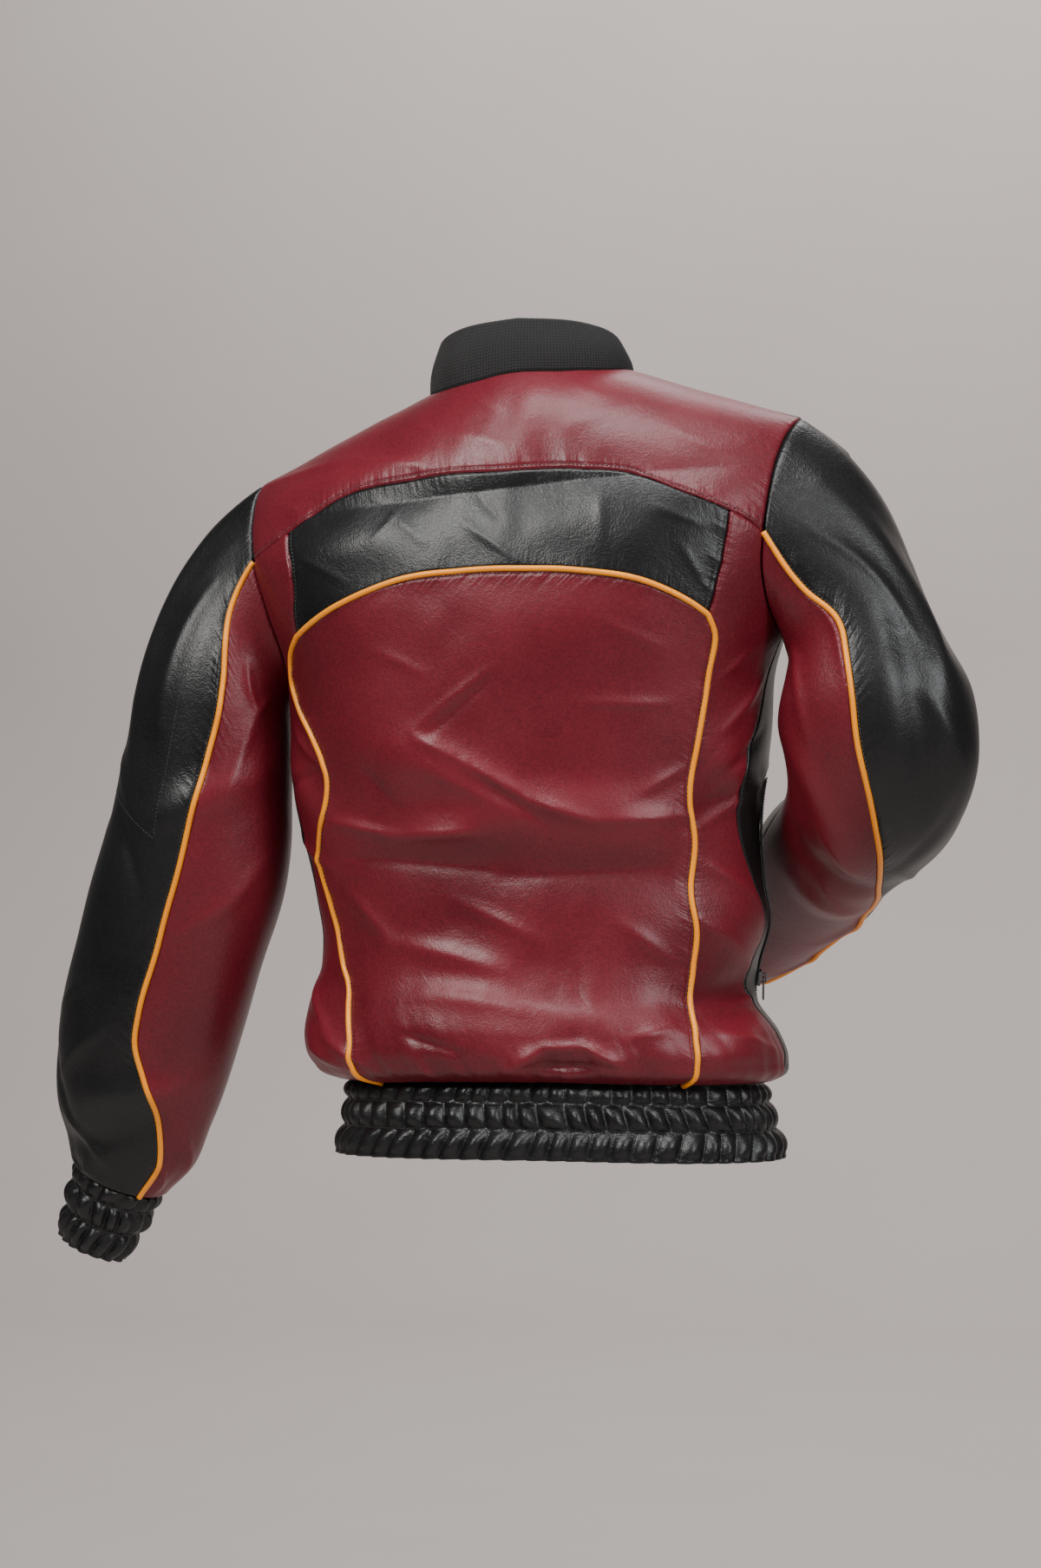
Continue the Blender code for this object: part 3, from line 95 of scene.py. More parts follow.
# Finer creases in the leather, pinched sharper than the folds; the same columns
BODY_CREASES = (
    (-30, -0.266, -12, -0.292, 0.0075, 0.0022), (-12, -0.292, 12, -0.326, 0.0095, 0.0038),
    (12, -0.326, 34, -0.348, 0.01, 0.0038), (34, -0.348, 60, -0.35, 0.008, 0.0022),
    (-8, -0.305, 20, -0.35, 0.008, -0.0022), (-59, -0.33, -39, -0.348, 0.0085, 0.0034),
    (-39, -0.348, -10, -0.35, 0.0095, 0.0034), (-30, -0.26, -4, -0.218, 0.006, 0.0014),
    (-26, -0.268, -2, -0.226, 0.005, -0.0012), (28, -0.254, 53, -0.262, 0.007, 0.0014),
    (46, -0.33, 58, -0.314, 0.007, 0.0016), (-60, -0.388, -48, -0.438, 0.014, 0.0024),
    (-48, -0.438, -2, -0.466, 0.016, 0.003), (-29, -0.484, 32, -0.506, 0.018, 0.0026),
    (-4, -0.546, 12, -0.529, 0.01, 0.0044), (12, -0.529, 24, -0.527, 0.009, 0.0046),
    (24, -0.527, 34, -0.541, 0.009, 0.004), (8, -0.546, 26, -0.543, 0.0085, -0.0046),
    (-58, -0.362, -7, -0.382, 0.01, -0.002), (-2, -0.388, 53, -0.39, 0.01, -0.0016),
    (26, -0.466, 30, -0.496, 0.006, -0.0012), (-43, -0.192, -27, -0.218, 0.008, 0.0012),
    (31, -0.188, 49, -0.218, 0.008, 0.0012), (-26, -0.294, 2, -0.332, 0.007, 0.0012),
    (-48, -0.288, -38, -0.324, 0.01, -0.0014), (-24, -0.406, 12, -0.444, 0.012, 0.0018),
    (38, -0.43, 56, -0.462, 0.01, 0.0016), (-38, -0.516, -17, -0.534, 0.009, -0.0018),
    (37, -0.522, 52, -0.512, 0.008, 0.0018), (-66, -0.512, -50, -0.544, 0.008, 0.002),
    (64, -0.358, 96, -0.314, 0.0075, 0.0026), (64, -0.386, 82, -0.418, 0.008, 0.0018),
    (62, -0.432, 86, -0.47, 0.009, 0.002), (64, -0.498, 98, -0.488, 0.008, 0.0026),
    (62, -0.516, 83, -0.532, 0.0075, 0.0022), (68, -0.286, 82, -0.246, 0.0065, 0.0018),
    (66, -0.326, 84, -0.288, 0.007, -0.0018), (66, -0.244, 74, -0.222, 0.0055, 0.0014),
    (-72, -0.248, -60, -0.284, 0.0065, 0.0018), (-80, -0.296, -62, -0.286, 0.0065, -0.0016),
    (-82, -0.338, -64, -0.37, 0.007, 0.002), (-81, -0.466, -60, -0.518, 0.008, 0.0022),
    (-70, -0.528, -56, -0.544, 0.006, 0.002), (-47, -0.068, -28, -0.112, 0.006, 0.0012),
    (-18, -0.094, 8, -0.138, 0.006, 0.0014), (36, -0.08, 33, -0.128, 0.009, 0.0011),
    (-61, -0.108, -49, -0.136, 0.005, 0.001), (47, -0.102, 57, -0.122, 0.0055, 0.0012),
    (-11, -0.078, 1, -0.104, 0.0045, -0.001), (52, -0.136, 57, -0.17, 0.005, 0.001),
    (-39, -0.082, -44, -0.106, 0.0045, 0.0009), (-80, -0.04, -55, -0.032, 0.007, 0.0022),
    (-55, -0.032, -30, -0.05, 0.008, 0.0018), (22, -0.032, 44, -0.016, 0.011, 0.0009),
    (24, 0.008, 36, -0.008, 0.009, 0.0009), (51, -0.036, 64, -0.068, 0.008, 0.0014),
    (-34, -0.016, 0, -0.038, 0.009, 0.0012), (-67, -0.06, -60, -0.082, 0.0055, 0.0012),
    (-22, 0.014, -1, -0.016, 0.008, 0.001), (118, -0.3, 158, -0.345, 0.008, 0.0028),
    (124, -0.25, 160, -0.292, 0.009, 0.0018), (112, -0.372, 146, -0.398, 0.0085, 0.0024),
    (126, -0.44, 162, -0.462, 0.011, 0.0022), (116, -0.486, 148, -0.5, 0.009, 0.002),
    (112, -0.205, 132, -0.262, 0.007, 0.0018), (128, -0.12, 150, -0.15, 0.009, 0.0012),
    (-116, -0.285, -156, -0.322, 0.008, 0.0026), (-122, -0.235, -158, -0.27, 0.009, 0.0018),
    (-110, -0.35, -148, -0.372, 0.0085, 0.0022), (-124, -0.455, -160, -0.44, 0.011, 0.0022),
    (-114, -0.5, -150, -0.482, 0.009, 0.002), (-110, -0.215, -130, -0.255, 0.007, 0.0018),
    (-126, -0.118, -148, -0.146, 0.009, 0.0012),
)

# Seams of the yoke. columns: angle, height
YOKE_SEAM = (
    ((-77.0, -0.104), (-71.0, -0.098), (-65.0, -0.086)),
    ((-65.0, -0.086), (-55.0, -0.065), (-36.0, -0.058), (0.0, -0.061), (30.0, -0.066),
     (46.0, -0.076), (56.0, -0.097), (62.5, -0.112)),
    ((62.5, -0.112), (66.0, -0.121), (69.6, -0.132)),
)

# Armholes, round from the shoulder tip over the back to the armpit (180) and up the front.
# columns: round, angle_left, angle_right, height
ARMHOLE = (
    (25.0, 78.5, 73.5, -0.052), (50.0, 78.0, 71.5, -0.078),
    (75.0, 77.0, 70.0, -0.108), (100.0, 77.0, 69.6, -0.138), (125.0, 78.5, 71.0, -0.168),
    (150.0, 82.0, 76.0, -0.194), (165.0, 86.0, 82.0, -0.206), (180.0, 90.0, 90.0, -0.2115),
    (195.0, 96.0, 97.0, -0.207), (215.0, 102.0, 102.5, -0.190), (240.0, 106.0, 106.0, -0.158),
    (270.0, 107.5, 107.5, -0.120), (300.0, 106.5, 106.5, -0.085), (330.0, 104.5, 104.5, -0.056),
)
YOKE_AT_ARMHOLE = {-1: 71.7, 1: 95.0}   # where the yoke seam and the sleeve's back seam meet it
NECK_HALF_WIDTH = 0.085
NECK_BACK = 0.060
NECK_FRONT = 0.085


def unit(vectors):
    return vectors / np.linalg.norm(vectors, axis=-1, keepdims=True)


def cubic(t, start, leaving, end, arriving):
    """Cubic from start to end that leaves and arrives with the given slopes, at shares t."""
    return ((2 * t**3 - 3 * t**2 + 1) * start + (t**3 - 2 * t**2 + t) * leaving
            + (3 * t**2 - 2 * t**3) * end + (t**3 - t**2) * arriving)


def table(rows, at):
    """Each column of the rows at the given places: a cubic through them with its neighbours' slopes."""
    rows = np.asarray(rows, float)
    place, value = rows[:, 0], rows[:, 1:]
    at = np.clip(np.asarray(at, float), place[0], place[-1])
    slope = np.gradient(value, place, axis=0)
    row = np.clip(np.searchsorted(place, at, side="right") - 1, 0, len(place) - 2)
    step = (place[row + 1] - place[row])[..., None]
    t = (at - place[row])[..., None] / step
    return cubic(t, value[row], step * slope[row], value[row + 1], step * slope[row + 1])


def travelled(points):
    """Length travelled along a line of points, from 0 at its start."""
    steps = np.linalg.norm(np.diff(points, axis=0), axis=1)
    return np.concatenate(([0.0], np.cumsum(steps)))


def seam(rows):
    """A smooth line of 200 places through rows of angle and height."""
    rows = np.asarray(rows, float)
    length = travelled(rows * METRIC)
    return table(np.column_stack((length, rows)), np.linspace(0.0, length[-1], 200))


def sampled(at, run, points):
    """Points of a line at lengths travelled along it."""
    return np.stack([np.interp(at, run, points[:, k]) for k in range(points.shape[1])], -1)


def shares(line, at):
    """Places at shares of a line's length."""
    run = travelled(line * METRIC)
    return sampled(np.asarray(at) * run[-1], run, line)


def crowded(cells, crowding):
    """Shares from 0 to 1 that lie closer together near both ends."""
    even = np.linspace(0.0, 1.0, cells + 1)
    return even - crowding * np.sin(2 * math.pi * even) / (2 * math.pi)


def patch(top, bottom, left, right, down, across):
    """Grid between four edges: the two rulings across, less the ruling between the corners."""
    top, bottom = shares(top, across), shares(bottom, across)
    left, right = shares(left, down), shares(right, down)
    down, across = down[:, None, None], across[None, :, None]
    corners = ((1 - down) * ((1 - across) * top[0] + across * top[-1])
               + down * ((1 - across) * bottom[0] + across * bottom[-1]))
    return ((1 - down) * top[None] + down * bottom[None]
            + (1 - across) * left[:, None] + across * right[:, None] - corners)


def smooth_step(at, low, high):
    """0 below low, 1 above high, and an even S between."""
    t = np.clip((np.asarray(at, float) - low) / (high - low), 0.0, 1.0)
    return t * t * (3.0 - 2.0 * t)


def folds(place, rows, metric, pinched=False):
    """Sum of ridges along lines: a soft bell across each, or for a crease a peak with long flanks."""
    total = np.zeros(place.shape[:-1])
    for row in rows:
        start, end = np.array(row[0:2]) * metric, np.array(row[2:4]) * metric
        line = end - start
        share = np.clip(((place - start) @ line) / (line @ line), 0.0, 1.0)
        away = np.linalg.norm(place - start - share[..., None] * line, axis=-1) / row[4]
        across = (1.0 + (1.4 * away)**2)**-1.5 if pinched else np.exp(-away**2)
        total += row[5] * across * (0.35 + 0.65 * np.sin(math.pi * share))
    return total


def uneven(across, down, seed, cells=96):
    """Soft random bumps: random values on a lattice of unit squares, joined by smooth steps.

    The lattice repeats after its cells, so that a ring of cloth closes on itself.
    """
    lattice = np.random.default_rng(seed).uniform(-1.0, 1.0, (97, cells + 1))
    lattice[-1], lattice[:, -1] = lattice[0], lattice[:, 0]
    x, y = np.mod(across, cells), np.mod(down, 96.0)
    column, row = np.floor(x).astype(int), np.floor(y).astype(int)
    s, t = smooth_step(x - column, 0.0, 1.0), smooth_step(y - row, 0.0, 1.0)
    return ((1 - t) * ((1 - s) * lattice[row, column] + s * lattice[row, column + 1])
            + t * ((1 - s) * lattice[row + 1, column] + s * lattice[row + 1, column + 1]))


def body_ring(angle, height):
    """Squared ellipse at a height: x and y at an angle, in polar form."""
    turn = np.radians(angle)
    ring = table(BODY_ROWS, height)
    centre, wide, back, front, power = [ring[..., k] for k in range(5)]
    deep = np.where(np.cos(turn) > 0.0, back, front)
    reach = (np.abs(np.sin(turn) / wide)**power + np.abs(np.cos(turn) / deep)**power)**(-1.0 / power)
    return centre + reach * np.sin(turn), -reach * np.cos(turn)


def ridge(angle):
    """Height of the shoulder line above an angle of the top ring, before the shoulders tilt."""
    top_x, _ = body_ring(angle, np.zeros_like(np.asarray(angle, float)))
    return SHOULDER_TOP - SHOULDER_SLOPE * (np.sqrt(top_x**2 + NECK_ROUND**2) - NECK_ROUND)


def rounding(angle):
    return np.where(np.cos(np.radians(angle)) > 0.0, ROUND_BACK, ROUND_FRONT)


def body_at_arc(angle, arc):
    """Ring point, drawn in to the shoulder line over the quarter round, with tilt and hem rise."""
    low = np.where(arc < math.pi / 2, 1.0 - np.cos(arc), 1.0 + arc - math.pi / 2)
    height = ridge(angle) - rounding(angle) * low
    x, y = body_ring(angle, height)
    y = y * np.sin(np.minimum(arc, math.pi / 2))
    lift = TILT * x * smooth_step(height, -0.60, -0.25)
    rise = HEM_RISE * np.cos(np.radians(angle)) * (1.0 - smooth_step(height, -0.55, -0.30))
    return np.stack((x, y, height + lift + rise), axis=-1)


GATHER_RISE, GATHER_REACH = 0.0034, 0.020         # gathers above the waistband die out upwards
BROAD_GATHER, NARROW_GATHER = 0.013, 0.007
BROAD_SWELL, NARROW_SWELL = 0.060, 0.026          # widths of the unevenness in worn leather


def body_relief(place):
    """Folds, creases, gathers above the waistband, and the slight unevenness of worn leather."""
    metric_place = place * METRIC
    across, down = metric_place[..., 0], metric_place[..., 1]
    low = np.exp(-((down - HEM) / GATHER_REACH))
    drift = across + 0.25 * (down - HEM)
    gathers = GATHER_RISE * low * (uneven(drift / BROAD_GATHER, 8.0 * down, 5)
                                   + 0.5 * uneven(drift / NARROW_GATHER, down / 0.04, 6))
    wide = (0.0014 * uneven(across / BROAD_SWELL, down / BROAD_SWELL, 7)
            + 0.0005 * uneven(across / NARROW_SWELL, down / NARROW_SWELL, 8))
    fade = smooth_step(down, HEM, HEM + 0.012)
    sharp = 1.35 - 0.65 * smooth_step(down, -0.25, -0.16)
    return (folds(metric_place, BODY_FOLDS, METRIC)
            + (sharp * folds(metric_place, BODY_CREASES, METRIC, pinched=True) + gathers + wide) * fade)


def body(place):
    """Points and outward directions of the body at places of angle and height, relief included."""
    angle, height = place[..., 0], place[..., 1]
    low = (ridge(angle) - height) / rounding(angle)
    arc = np.where(low < 1.0, np.arccos(np.clip(1.0 - low, -1.0, 1.0)), math.pi / 2 + low - 1.0)

    def at(turn, down):
        return body_at_arc(angle + turn, arc + down)

    # one step round, away from the side line, where the rounding of the back meets the chest's
    turn = np.where((np.abs(angle) <= 90.0) == (angle >= 0.0), -0.05, 0.05)
    round_step = (at(turn, 0.0) - at(0.0, 0.0)) / turn[..., None]
    normal = unit(np.cross(at(0.0, 0.001) - at(0.0, -0.001), round_step))
    return at(0.0, 0.0) + normal * body_relief(place)[..., None], normal


def neckline(turns):
    """Places on the body below points of the neck ellipse, at turns round from the centre back."""
    turns = np.asarray(turns, float)
    deep = np.where(np.cos(np.radians(turns)) > 0.0, NECK_BACK, NECK_FRONT)
    x, y = NECK_HALF_WIDTH * np.sin(np.radians(turns)), -deep * np.cos(np.radians(turns))
    _, _, wide, back, front, power = BODY_ROWS[-1]
    ring_y = np.where(y > 0.0, front, -back) * (1.0 - np.abs(x / wide)**power)**(1.0 / power)
    angle = np.degrees(np.arctan2(x, -ring_y))
    inward = np.arcsin(np.clip(y / ring_y, 0.0, 1.0))
    return np.column_stack((angle, ridge(angle) - rounding(angle) * (1.0 - np.cos(inward))))


def tip_angle(front):
    """Angle at which the top ring is as far out as the shoulder tip."""
    _, _, wide, back, chest, power = BODY_ROWS[-1]
    deep = (chest if front else back) * (1.0 - (SHOULDER_TIP / wide)**power)**(1.0 / power)
    angle = math.degrees(math.atan2(SHOULDER_TIP, deep))
    return 180.0 - angle if front else angle


def shoulder_line(side, front):
    """Places along the shoulder line from the neck to the tip, seen as the back's or the front's."""
    neck = neckline([side * (90.0 + (0.01 if front else -0.01))])[0, 0]
    angle = np.linspace(neck, side * tip_angle(front), 200)
    return np.column_stack((angle, ridge(angle)))


def armhole(side, rounds):
    """Places on the body at stations round the armhole."""
    ends = [(turn, tip_angle(front), tip_angle(front), float(ridge(tip_angle(front))))
            for turn, front in ((0.0, False), (360.0, True))]
    rows = table((ends[0], *ARMHOLE, ends[1]), np.mod(rounds, 360.0))
    return np.stack((side * rows[..., 0 if side < 0 else 1], rows[..., 2]), axis=-1)


def grid_normal(point, outward, wrap=False):
    """Directions square to a grid of points, turned to the outward side."""
    if wrap:
        padded = np.concatenate((point[:, -1:], point, point[:, :1]), axis=1)
        across = (padded[:, 2:] - padded[:, :-2]) / 2
    else:
        across = np.gradient(point, axis=1)
    normal = np.cross(np.gradient(point, axis=0), across)
    normal /= np.maximum(np.linalg.norm(normal, axis=-1, keepdims=True), 1e-12)
    return normal * np.sign(np.sum(normal * outward))


def lay_down(piece, material, nodes=(), body_name="jacket"):
    """Gives a finished piece its material, the body it rides on and the solids it stands for."""
    piece.data.materials.append(material)
    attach(piece, body_name)
    if nodes:
        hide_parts(*nodes)
    return piece


def mesh_piece(name, points, faces, layers=None, values=None, flat=False):
    """Object from points and faces, with layers as a UV map in metres and values for its shading."""
    mesh = bpy.data.meshes.new(name)
    mesh.from_pydata(points.tolist(), [], faces if isinstance(faces, list) else faces.tolist())
    if layers is not None:
        corner = np.empty(len(mesh.loops), np.int32)
        mesh.loops.foreach_get("vertex_index", corner)
        mesh.uv_layers.new(name="cut").data.foreach_set("uv", layers[corner].astype(np.float32).ravel())
    for key, value in (values or {}).items():
        mesh.attributes.new(key, "FLOAT", "POINT").data.foreach_set("value", value.astype(np.float32))
    if flat:
        mesh.shade_flat()
    else:
        mesh.shade_smooth()
    piece = bpy.data.objects.new(name, mesh)
    bpy.context.scene.collection.objects.link(piece)
    return piece


def cloth_wall(name, outer, outward, thickness, values, material, node, wrap=False):
    """Wall of cloth: the outer grid, the same grid moved in along its directions, and the rims.

    Its cut is a UV map in metres, as wide and long as the grid's longest row and column.
    """
    rows, columns = outer.shape[:2]
    count = rows * columns
    inner = outer - grid_normal(outer, outward, wrap) * thickness
    index = np.arange(count).reshape(rows, columns)
    if wrap:
        index = np.column_stack((index, index[:, 0]))
    face = np.stack((index[:-1, :-1], index[1:, :-1], index[1:, 1:], index[:-1, 1:]), -1).reshape(-1, 4)
    if wrap:
        loops = (index[0], index[-1, ::-1])
    else:
        border = (index[0, :-1], index[:-1, -1], index[-1, :0:-1], index[:0:-1, 0], index[0, :1])
        loops = (np.concatenate(border),)
    rims = [np.stack((loop[:-1], loop[1:], loop[1:] + count, loop[:-1] + count), -1) for loop in loops]
    faces = np.concatenate([face, face[:, ::-1] + count] + rims)
    normal = np.cross(outer[1:, :-1] - outer[:-1, :-1], outer[:-1, 1:] - outer[:-1, :-1])
    if np.sum(normal * outward[:-1, :-1]) < 0.0:
        faces = faces[:, ::-1]
    along = np.cumsum(np.linalg.norm(np.diff(outer, axis=1, prepend=outer[:, :1]), axis=-1), axis=1)
    down = np.cumsum(np.linalg.norm(np.diff(outer, axis=0, prepend=outer[:1]), axis=-1), axis=0)
    cut = np.stack((along, down), -1).reshape(-1, 2)
    piece = mesh_piece(name, np.concatenate((outer.reshape(-1, 3), inner.reshape(-1, 3))), faces,
                       np.concatenate((cut, cut)), {k: np.tile(v.ravel(), 2) for k, v in values.items()})
    lay_down(piece, material, (node,))


def edge_distance(point):
    """Distance of each grid point from the four edges, measured along the grid's lines."""
    across = np.linalg.norm(np.diff(point, axis=1), axis=-1)
    down = np.linalg.norm(np.diff(point, axis=0), axis=-1)
    left = np.pad(np.cumsum(across, axis=1), ((0, 0), (1, 0)))
    top = np.pad(np.cumsum(down, axis=0), ((1, 0), (0, 0)))
    return {"left": left, "right": left[:, -1:] - left, "top": top, "bottom": top[-1:] - top}


SEAM_DIP, SEAM_DIP_WIDTH = 0.0010, 0.0012         # leather rolls under along a plain seam
CORD_DIP, CORD_DIP_WIDTH = 0.0026, 0.0017         # and deeper beside the piping
GROOVE_DEPTH, GROOVE_WIDTH = 0.00045, 0.0011      # topstitching pulls a groove into it
STITCH_INSET = 0.0042
STITCH_LENGTH, STITCH_PITCH = 0.0026, 0.0034
PUCKER_HEIGHT, PUCKER_LENGTH = 0.0007, 0.0085     # puckers that the topstitching draws up
THREAD_LIFT = 0.0001


def sewn(point, outward, edges):
    """A panel's grid with its edges turned under, its stitch grooves and the puckers beside them.

    edges names for each side "seam", "cord" or "hem", with a star where it is topstitched.
    """
    distance = edge_distance(point)
    drop = np.zeros(point.shape[:2])
    pull = {"pull_down": np.zeros(point.shape[:2]), "pull_across": np.zeros(point.shape[:2])}
    for side, finish in edges.items():
        away = distance[side]
        along = distance["top" if side in ("left", "right") else "left"]
        by_cord = finish.startswith("cord")
        deep, wide = (CORD_DIP, CORD_DIP_WIDTH) if by_cord else (SEAM_DIP, SEAM_DIP_WIDTH)
        drop -= deep * np.exp(-(away / wide)**2)
        if finish.endswith("*"):
            drop -= GROOVE_DEPTH * np.exp(-((away - STITCH_INSET) / GROOVE_WIDTH)**2)
            drop += (PUCKER_HEIGHT * np.exp(-(away / 0.013)**2)
                     * uneven(along / PUCKER_LENGTH, away / 0.028, 11))
        key = "pull_down" if side in ("left", "right") else "pull_across"
        strength = 1.0 if finish.endswith("*") else 0.55
        pull[key] = np.maximum(pull[key], strength * np.exp(-(away / 0.011)**2))
    return point + grid_normal(point, outward) * drop[..., None], pull


def stitches(name, line, normal, thread, radius=0.00038):
    """Run of thread stitches: each a five-sided spindle laid along the line."""
    run = travelled(line)
    middle = np.arange(STITCH_PITCH, run[-1] - STITCH_PITCH, STITCH_PITCH)
    at = sampled(middle, run, line)
    ahead = unit(sampled(middle + 0.0005, run, line) - at)
    across = unit(np.cross(ahead, sampled(middle, run, normal)))
    up = np.cross(across, ahead)
    turn = np.radians(np.arange(5) * 72.0)[None, None, :, None]
    place = np.array((-0.5, -0.3, 0.3, 0.5))[None, :, None, None]
    thick = np.array((0.25, 1.0, 1.0, 0.25))[None, :, None, None] * radius
    sink = np.array((-0.6, 0.35, 0.35, -0.6))[None, :, None, None] * radius
    ring = (at[:, None, None] + ahead[:, None, None] * place * STITCH_LENGTH
            + up[:, None, None] * sink
            + thick * (across[:, None, None] * np.cos(turn) + up[:, None, None] * np.sin(turn)))
    count = len(middle)
    index = np.arange(20).reshape(4, 5)
    after = np.roll(index, -1, axis=1)
    quad = np.stack((index[:-1], after[:-1], after[1:], index[1:]), -1).reshape(-1, 4)
    quads = (quad[None] + 20 * np.arange(count)[:, None, None]).reshape(-1, 4)
    caps = np.stack((index[0, ::-1], index[-1]))
    caps = (caps[None] + 20 * np.arange(count)[:, None, None]).reshape(-1, 5)
    piece = mesh_piece(name, ring.reshape(-1, 3), quads.tolist() + caps.tolist())
    return lay_down(piece, thread)


def inset_line(point, outward, side, depth):
    """Line across a grid at a depth in from one side, with the surface's directions."""
    away, normal = edge_distance(point)[side], grid_normal(point, outward)
    if side in ("top", "bottom"):
        away, point, normal = away.T, point.swapaxes(0, 1), normal.swapaxes(0, 1)
    order = 1 if side in ("left", "top") else -1
    at = [[np.interp(depth, far[::order], row[::order, k]) for k in range(3)]
          for far, row in zip(away, point)]
    up = normal[:, 3 if order == 1 else -4]
    return np.array(at) + up * THREAD_LIFT, up


def shader_of(material):
    return material.node_tree.nodes["Principled BSDF"]


def add_node(material, kind, inputs=(), **settings):
    """New shader node with its settings, and its inputs set or linked."""
    node = material.node_tree.nodes.new(kind)
    for key, value in settings.items():
        setattr(node, key, value)
    for key, value in inputs:
        if isinstance(value, bpy.types.NodeSocket):
            material.node_tree.links.new(value, node.inputs[key])
        else:
            node.inputs[key].default_value = value
    return node


def new_material(name, plain):
    """Material with plain values on its shader's sockets."""
    material = bpy.data.materials.new(name)
    material.use_nodes = True
    for key, value in plain.items():
        shader_of(material).inputs[key].default_value = value
    return material


def in_space(material):
    return add_node(material, "ShaderNodeTexCoord").outputs["Object"]


def on_cut(material):
    return add_node(material, "ShaderNodeUVMap", uv_map="cut").outputs["UV"]


def attribute(material, key):
    return add_node(material, "ShaderNodeAttribute", attribute_name=key).outputs["Fac"]


def worked_out(material, operation, first, second, **settings):
    """Result of a sum or product of two values."""
    return add_node(material, "ShaderNodeMath", ((0, first), (1, second)), operation=operation,
                    **settings).outputs[0]


def noise(material, place, scale, detail=2.0, *others):
    inputs = (("Vector", place), ("Scale", scale), ("Detail", detail), *others)
    return add_node(material, "ShaderNodeTexNoise", inputs).outputs["Fac"]


def drawn_out(material, place, stretch):
    """Places stretched, so that a texture on them is drawn out one way."""
    return add_node(material, "ShaderNodeMapping", (("Vector", place), ("Scale", stretch))).outputs[0]


def ranged(material, value, low, high, to_low=0.0, to_high=1.0):
    """A value between low and high, moved to between two others."""
    inputs = ((0, value), (1, low), (2, high), (3, to_low), (4, to_high))
    return add_node(material, "ShaderNodeMapRange", inputs).outputs[0]


def feed(material, key, value):
    material.node_tree.links.new(value, shader_of(material).inputs[key])


def colour(material, share, dark, light):
    """Base colour, mixed from dark to light by a share."""
    inputs = ((0, share), (6, (*dark, 1.0)), (7, (*light, 1.0)))
    feed(material, "Base Color", add_node(material, "ShaderNodeMix", inputs, data_type="RGBA").outputs[2])


def bump(material, height, distance, strength, below=None):
    """Bump on the shader, laid over the one below it if there is one."""
    inputs = (("Height", height), ("Distance", distance), ("Strength", strength))
    if below:
        inputs += (("Normal", below),)
    top = add_node(material, "ShaderNodeBump", inputs).outputs[0]
    feed(material, "Normal", top)
    return top


def leather(name, deep, light, roughness, grain=1.0):
    """Smooth full-grain leather: pebble grain, fine wrinkles and seam pulls in the bump, tone in spots,
    lighter where wear rubs the ridges and darker in the troughs as painted shade.
    """
    material = new_material(name, {"Specular IOR Level": 0.38, "Coat Weight": 0.04,
                                   "Coat Roughness": 0.24})
    place, cut = in_space(material), on_cut(material)
    cloud = noise(material, place, 9.0, 5.0)
    spots = worked_out(material, "ADD", cloud, noise(material, place, 420.0))
    spots = ranged(material, spots, 0.7, 1.3)
    # colour share: random spots, plus wear lighter on the ridges and painted shade darker in the troughs
    shade = worked_out(material, "ADD", spots, attribute(material, "wear_and_shade"), use_clamp=True)
    colour(material, shade, deep, light)
    feed(material, "Roughness", ranged(material, cloud, 0.3, 0.7, roughness - 0.05, roughness + 0.07))
    wrinkle = noise(material, place, 130.0, 6.0, ("Roughness", 0.62), ("Distortion", 0.8))
    pebble = add_node(material, "ShaderNodeTexVoronoi", (("Vector", place), ("Scale", 760.0)),
                      feature="SMOOTH_F1").outputs["Distance"]
    below = bump(material, wrinkle, 0.0006, 0.55)
    below = bump(material, pebble, 0.00022 * grain, 0.55, below)
    for key, stretch in (("pull_down", (22.0, 190.0, 1.0)), ("pull_across", (190.0, 22.0, 1.0))):
        lines = noise(material, drawn_out(material, cut, stretch), 1.0)
        height = worked_out(material, "MULTIPLY", lines, attribute(material, key))
        below = bump(material, height, 0.0022, 0.7, below)
    return material


def thread_material(name, shade):
    """Waxed sewing thread: a twist in its colour and a soft sheen."""
    material = new_material(name, {"Roughness": 0.55, "Sheen Weight": 0.3})
    twist = noise(material, in_space(material), 1400.0, 1.0)
    colour(material, twist, [c * 0.7 for c in shade], [c * 1.25 for c in shade])
    return material


RED_LEATHER = leather("red leather", (0.096, 0.0056, 0.0118), (0.160, 0.0105, 0.0200), 0.37)
BLACK_LEATHER = leather("black leather", (0.0036, 0.0036, 0.0040), (0.0095, 0.0095, 0.0100), 0.35, 1.3)
RED_THREAD = thread_material("red thread", (0.050, 0.006, 0.009))
BLACK_THREAD = thread_material("black thread", (0.006, 0.006, 0.007))
LEATHER_THICKNESS = 0.0014


def ridge_wear_and_trough_shade(relief):
    """How much lighter raised leather is rubbed by wear, and how much darker the troughs are painted as
    shade.
    """
    return np.clip(relief / 0.010, -0.25, 0.45)


def body_panel(node, place, edges, material, thread=None):
    """One leather panel of the body: relief, sewn edges, wall with its cut as a UV map, and its topstitching.
    """
    point, outward = body(place)
    outer, pull = sewn(point, outward, edges)
    # for the colour: wear lighter on the ridges, painted shade darker in the troughs
    values = dict(pull, wear_and_shade=ridge_wear_and_trough_shade(body_relief(place)))
    cloth_wall(node + "_leather", outer, outward, LEATHER_THICKNESS, values, material, node)
    for side, finish in edges.items():
        if finish.endswith("*"):
            line, up = inset_line(outer, outward, side, STITCH_INSET)
            stitches(node + "_stitches_" + side, line, up, thread)
    return outer


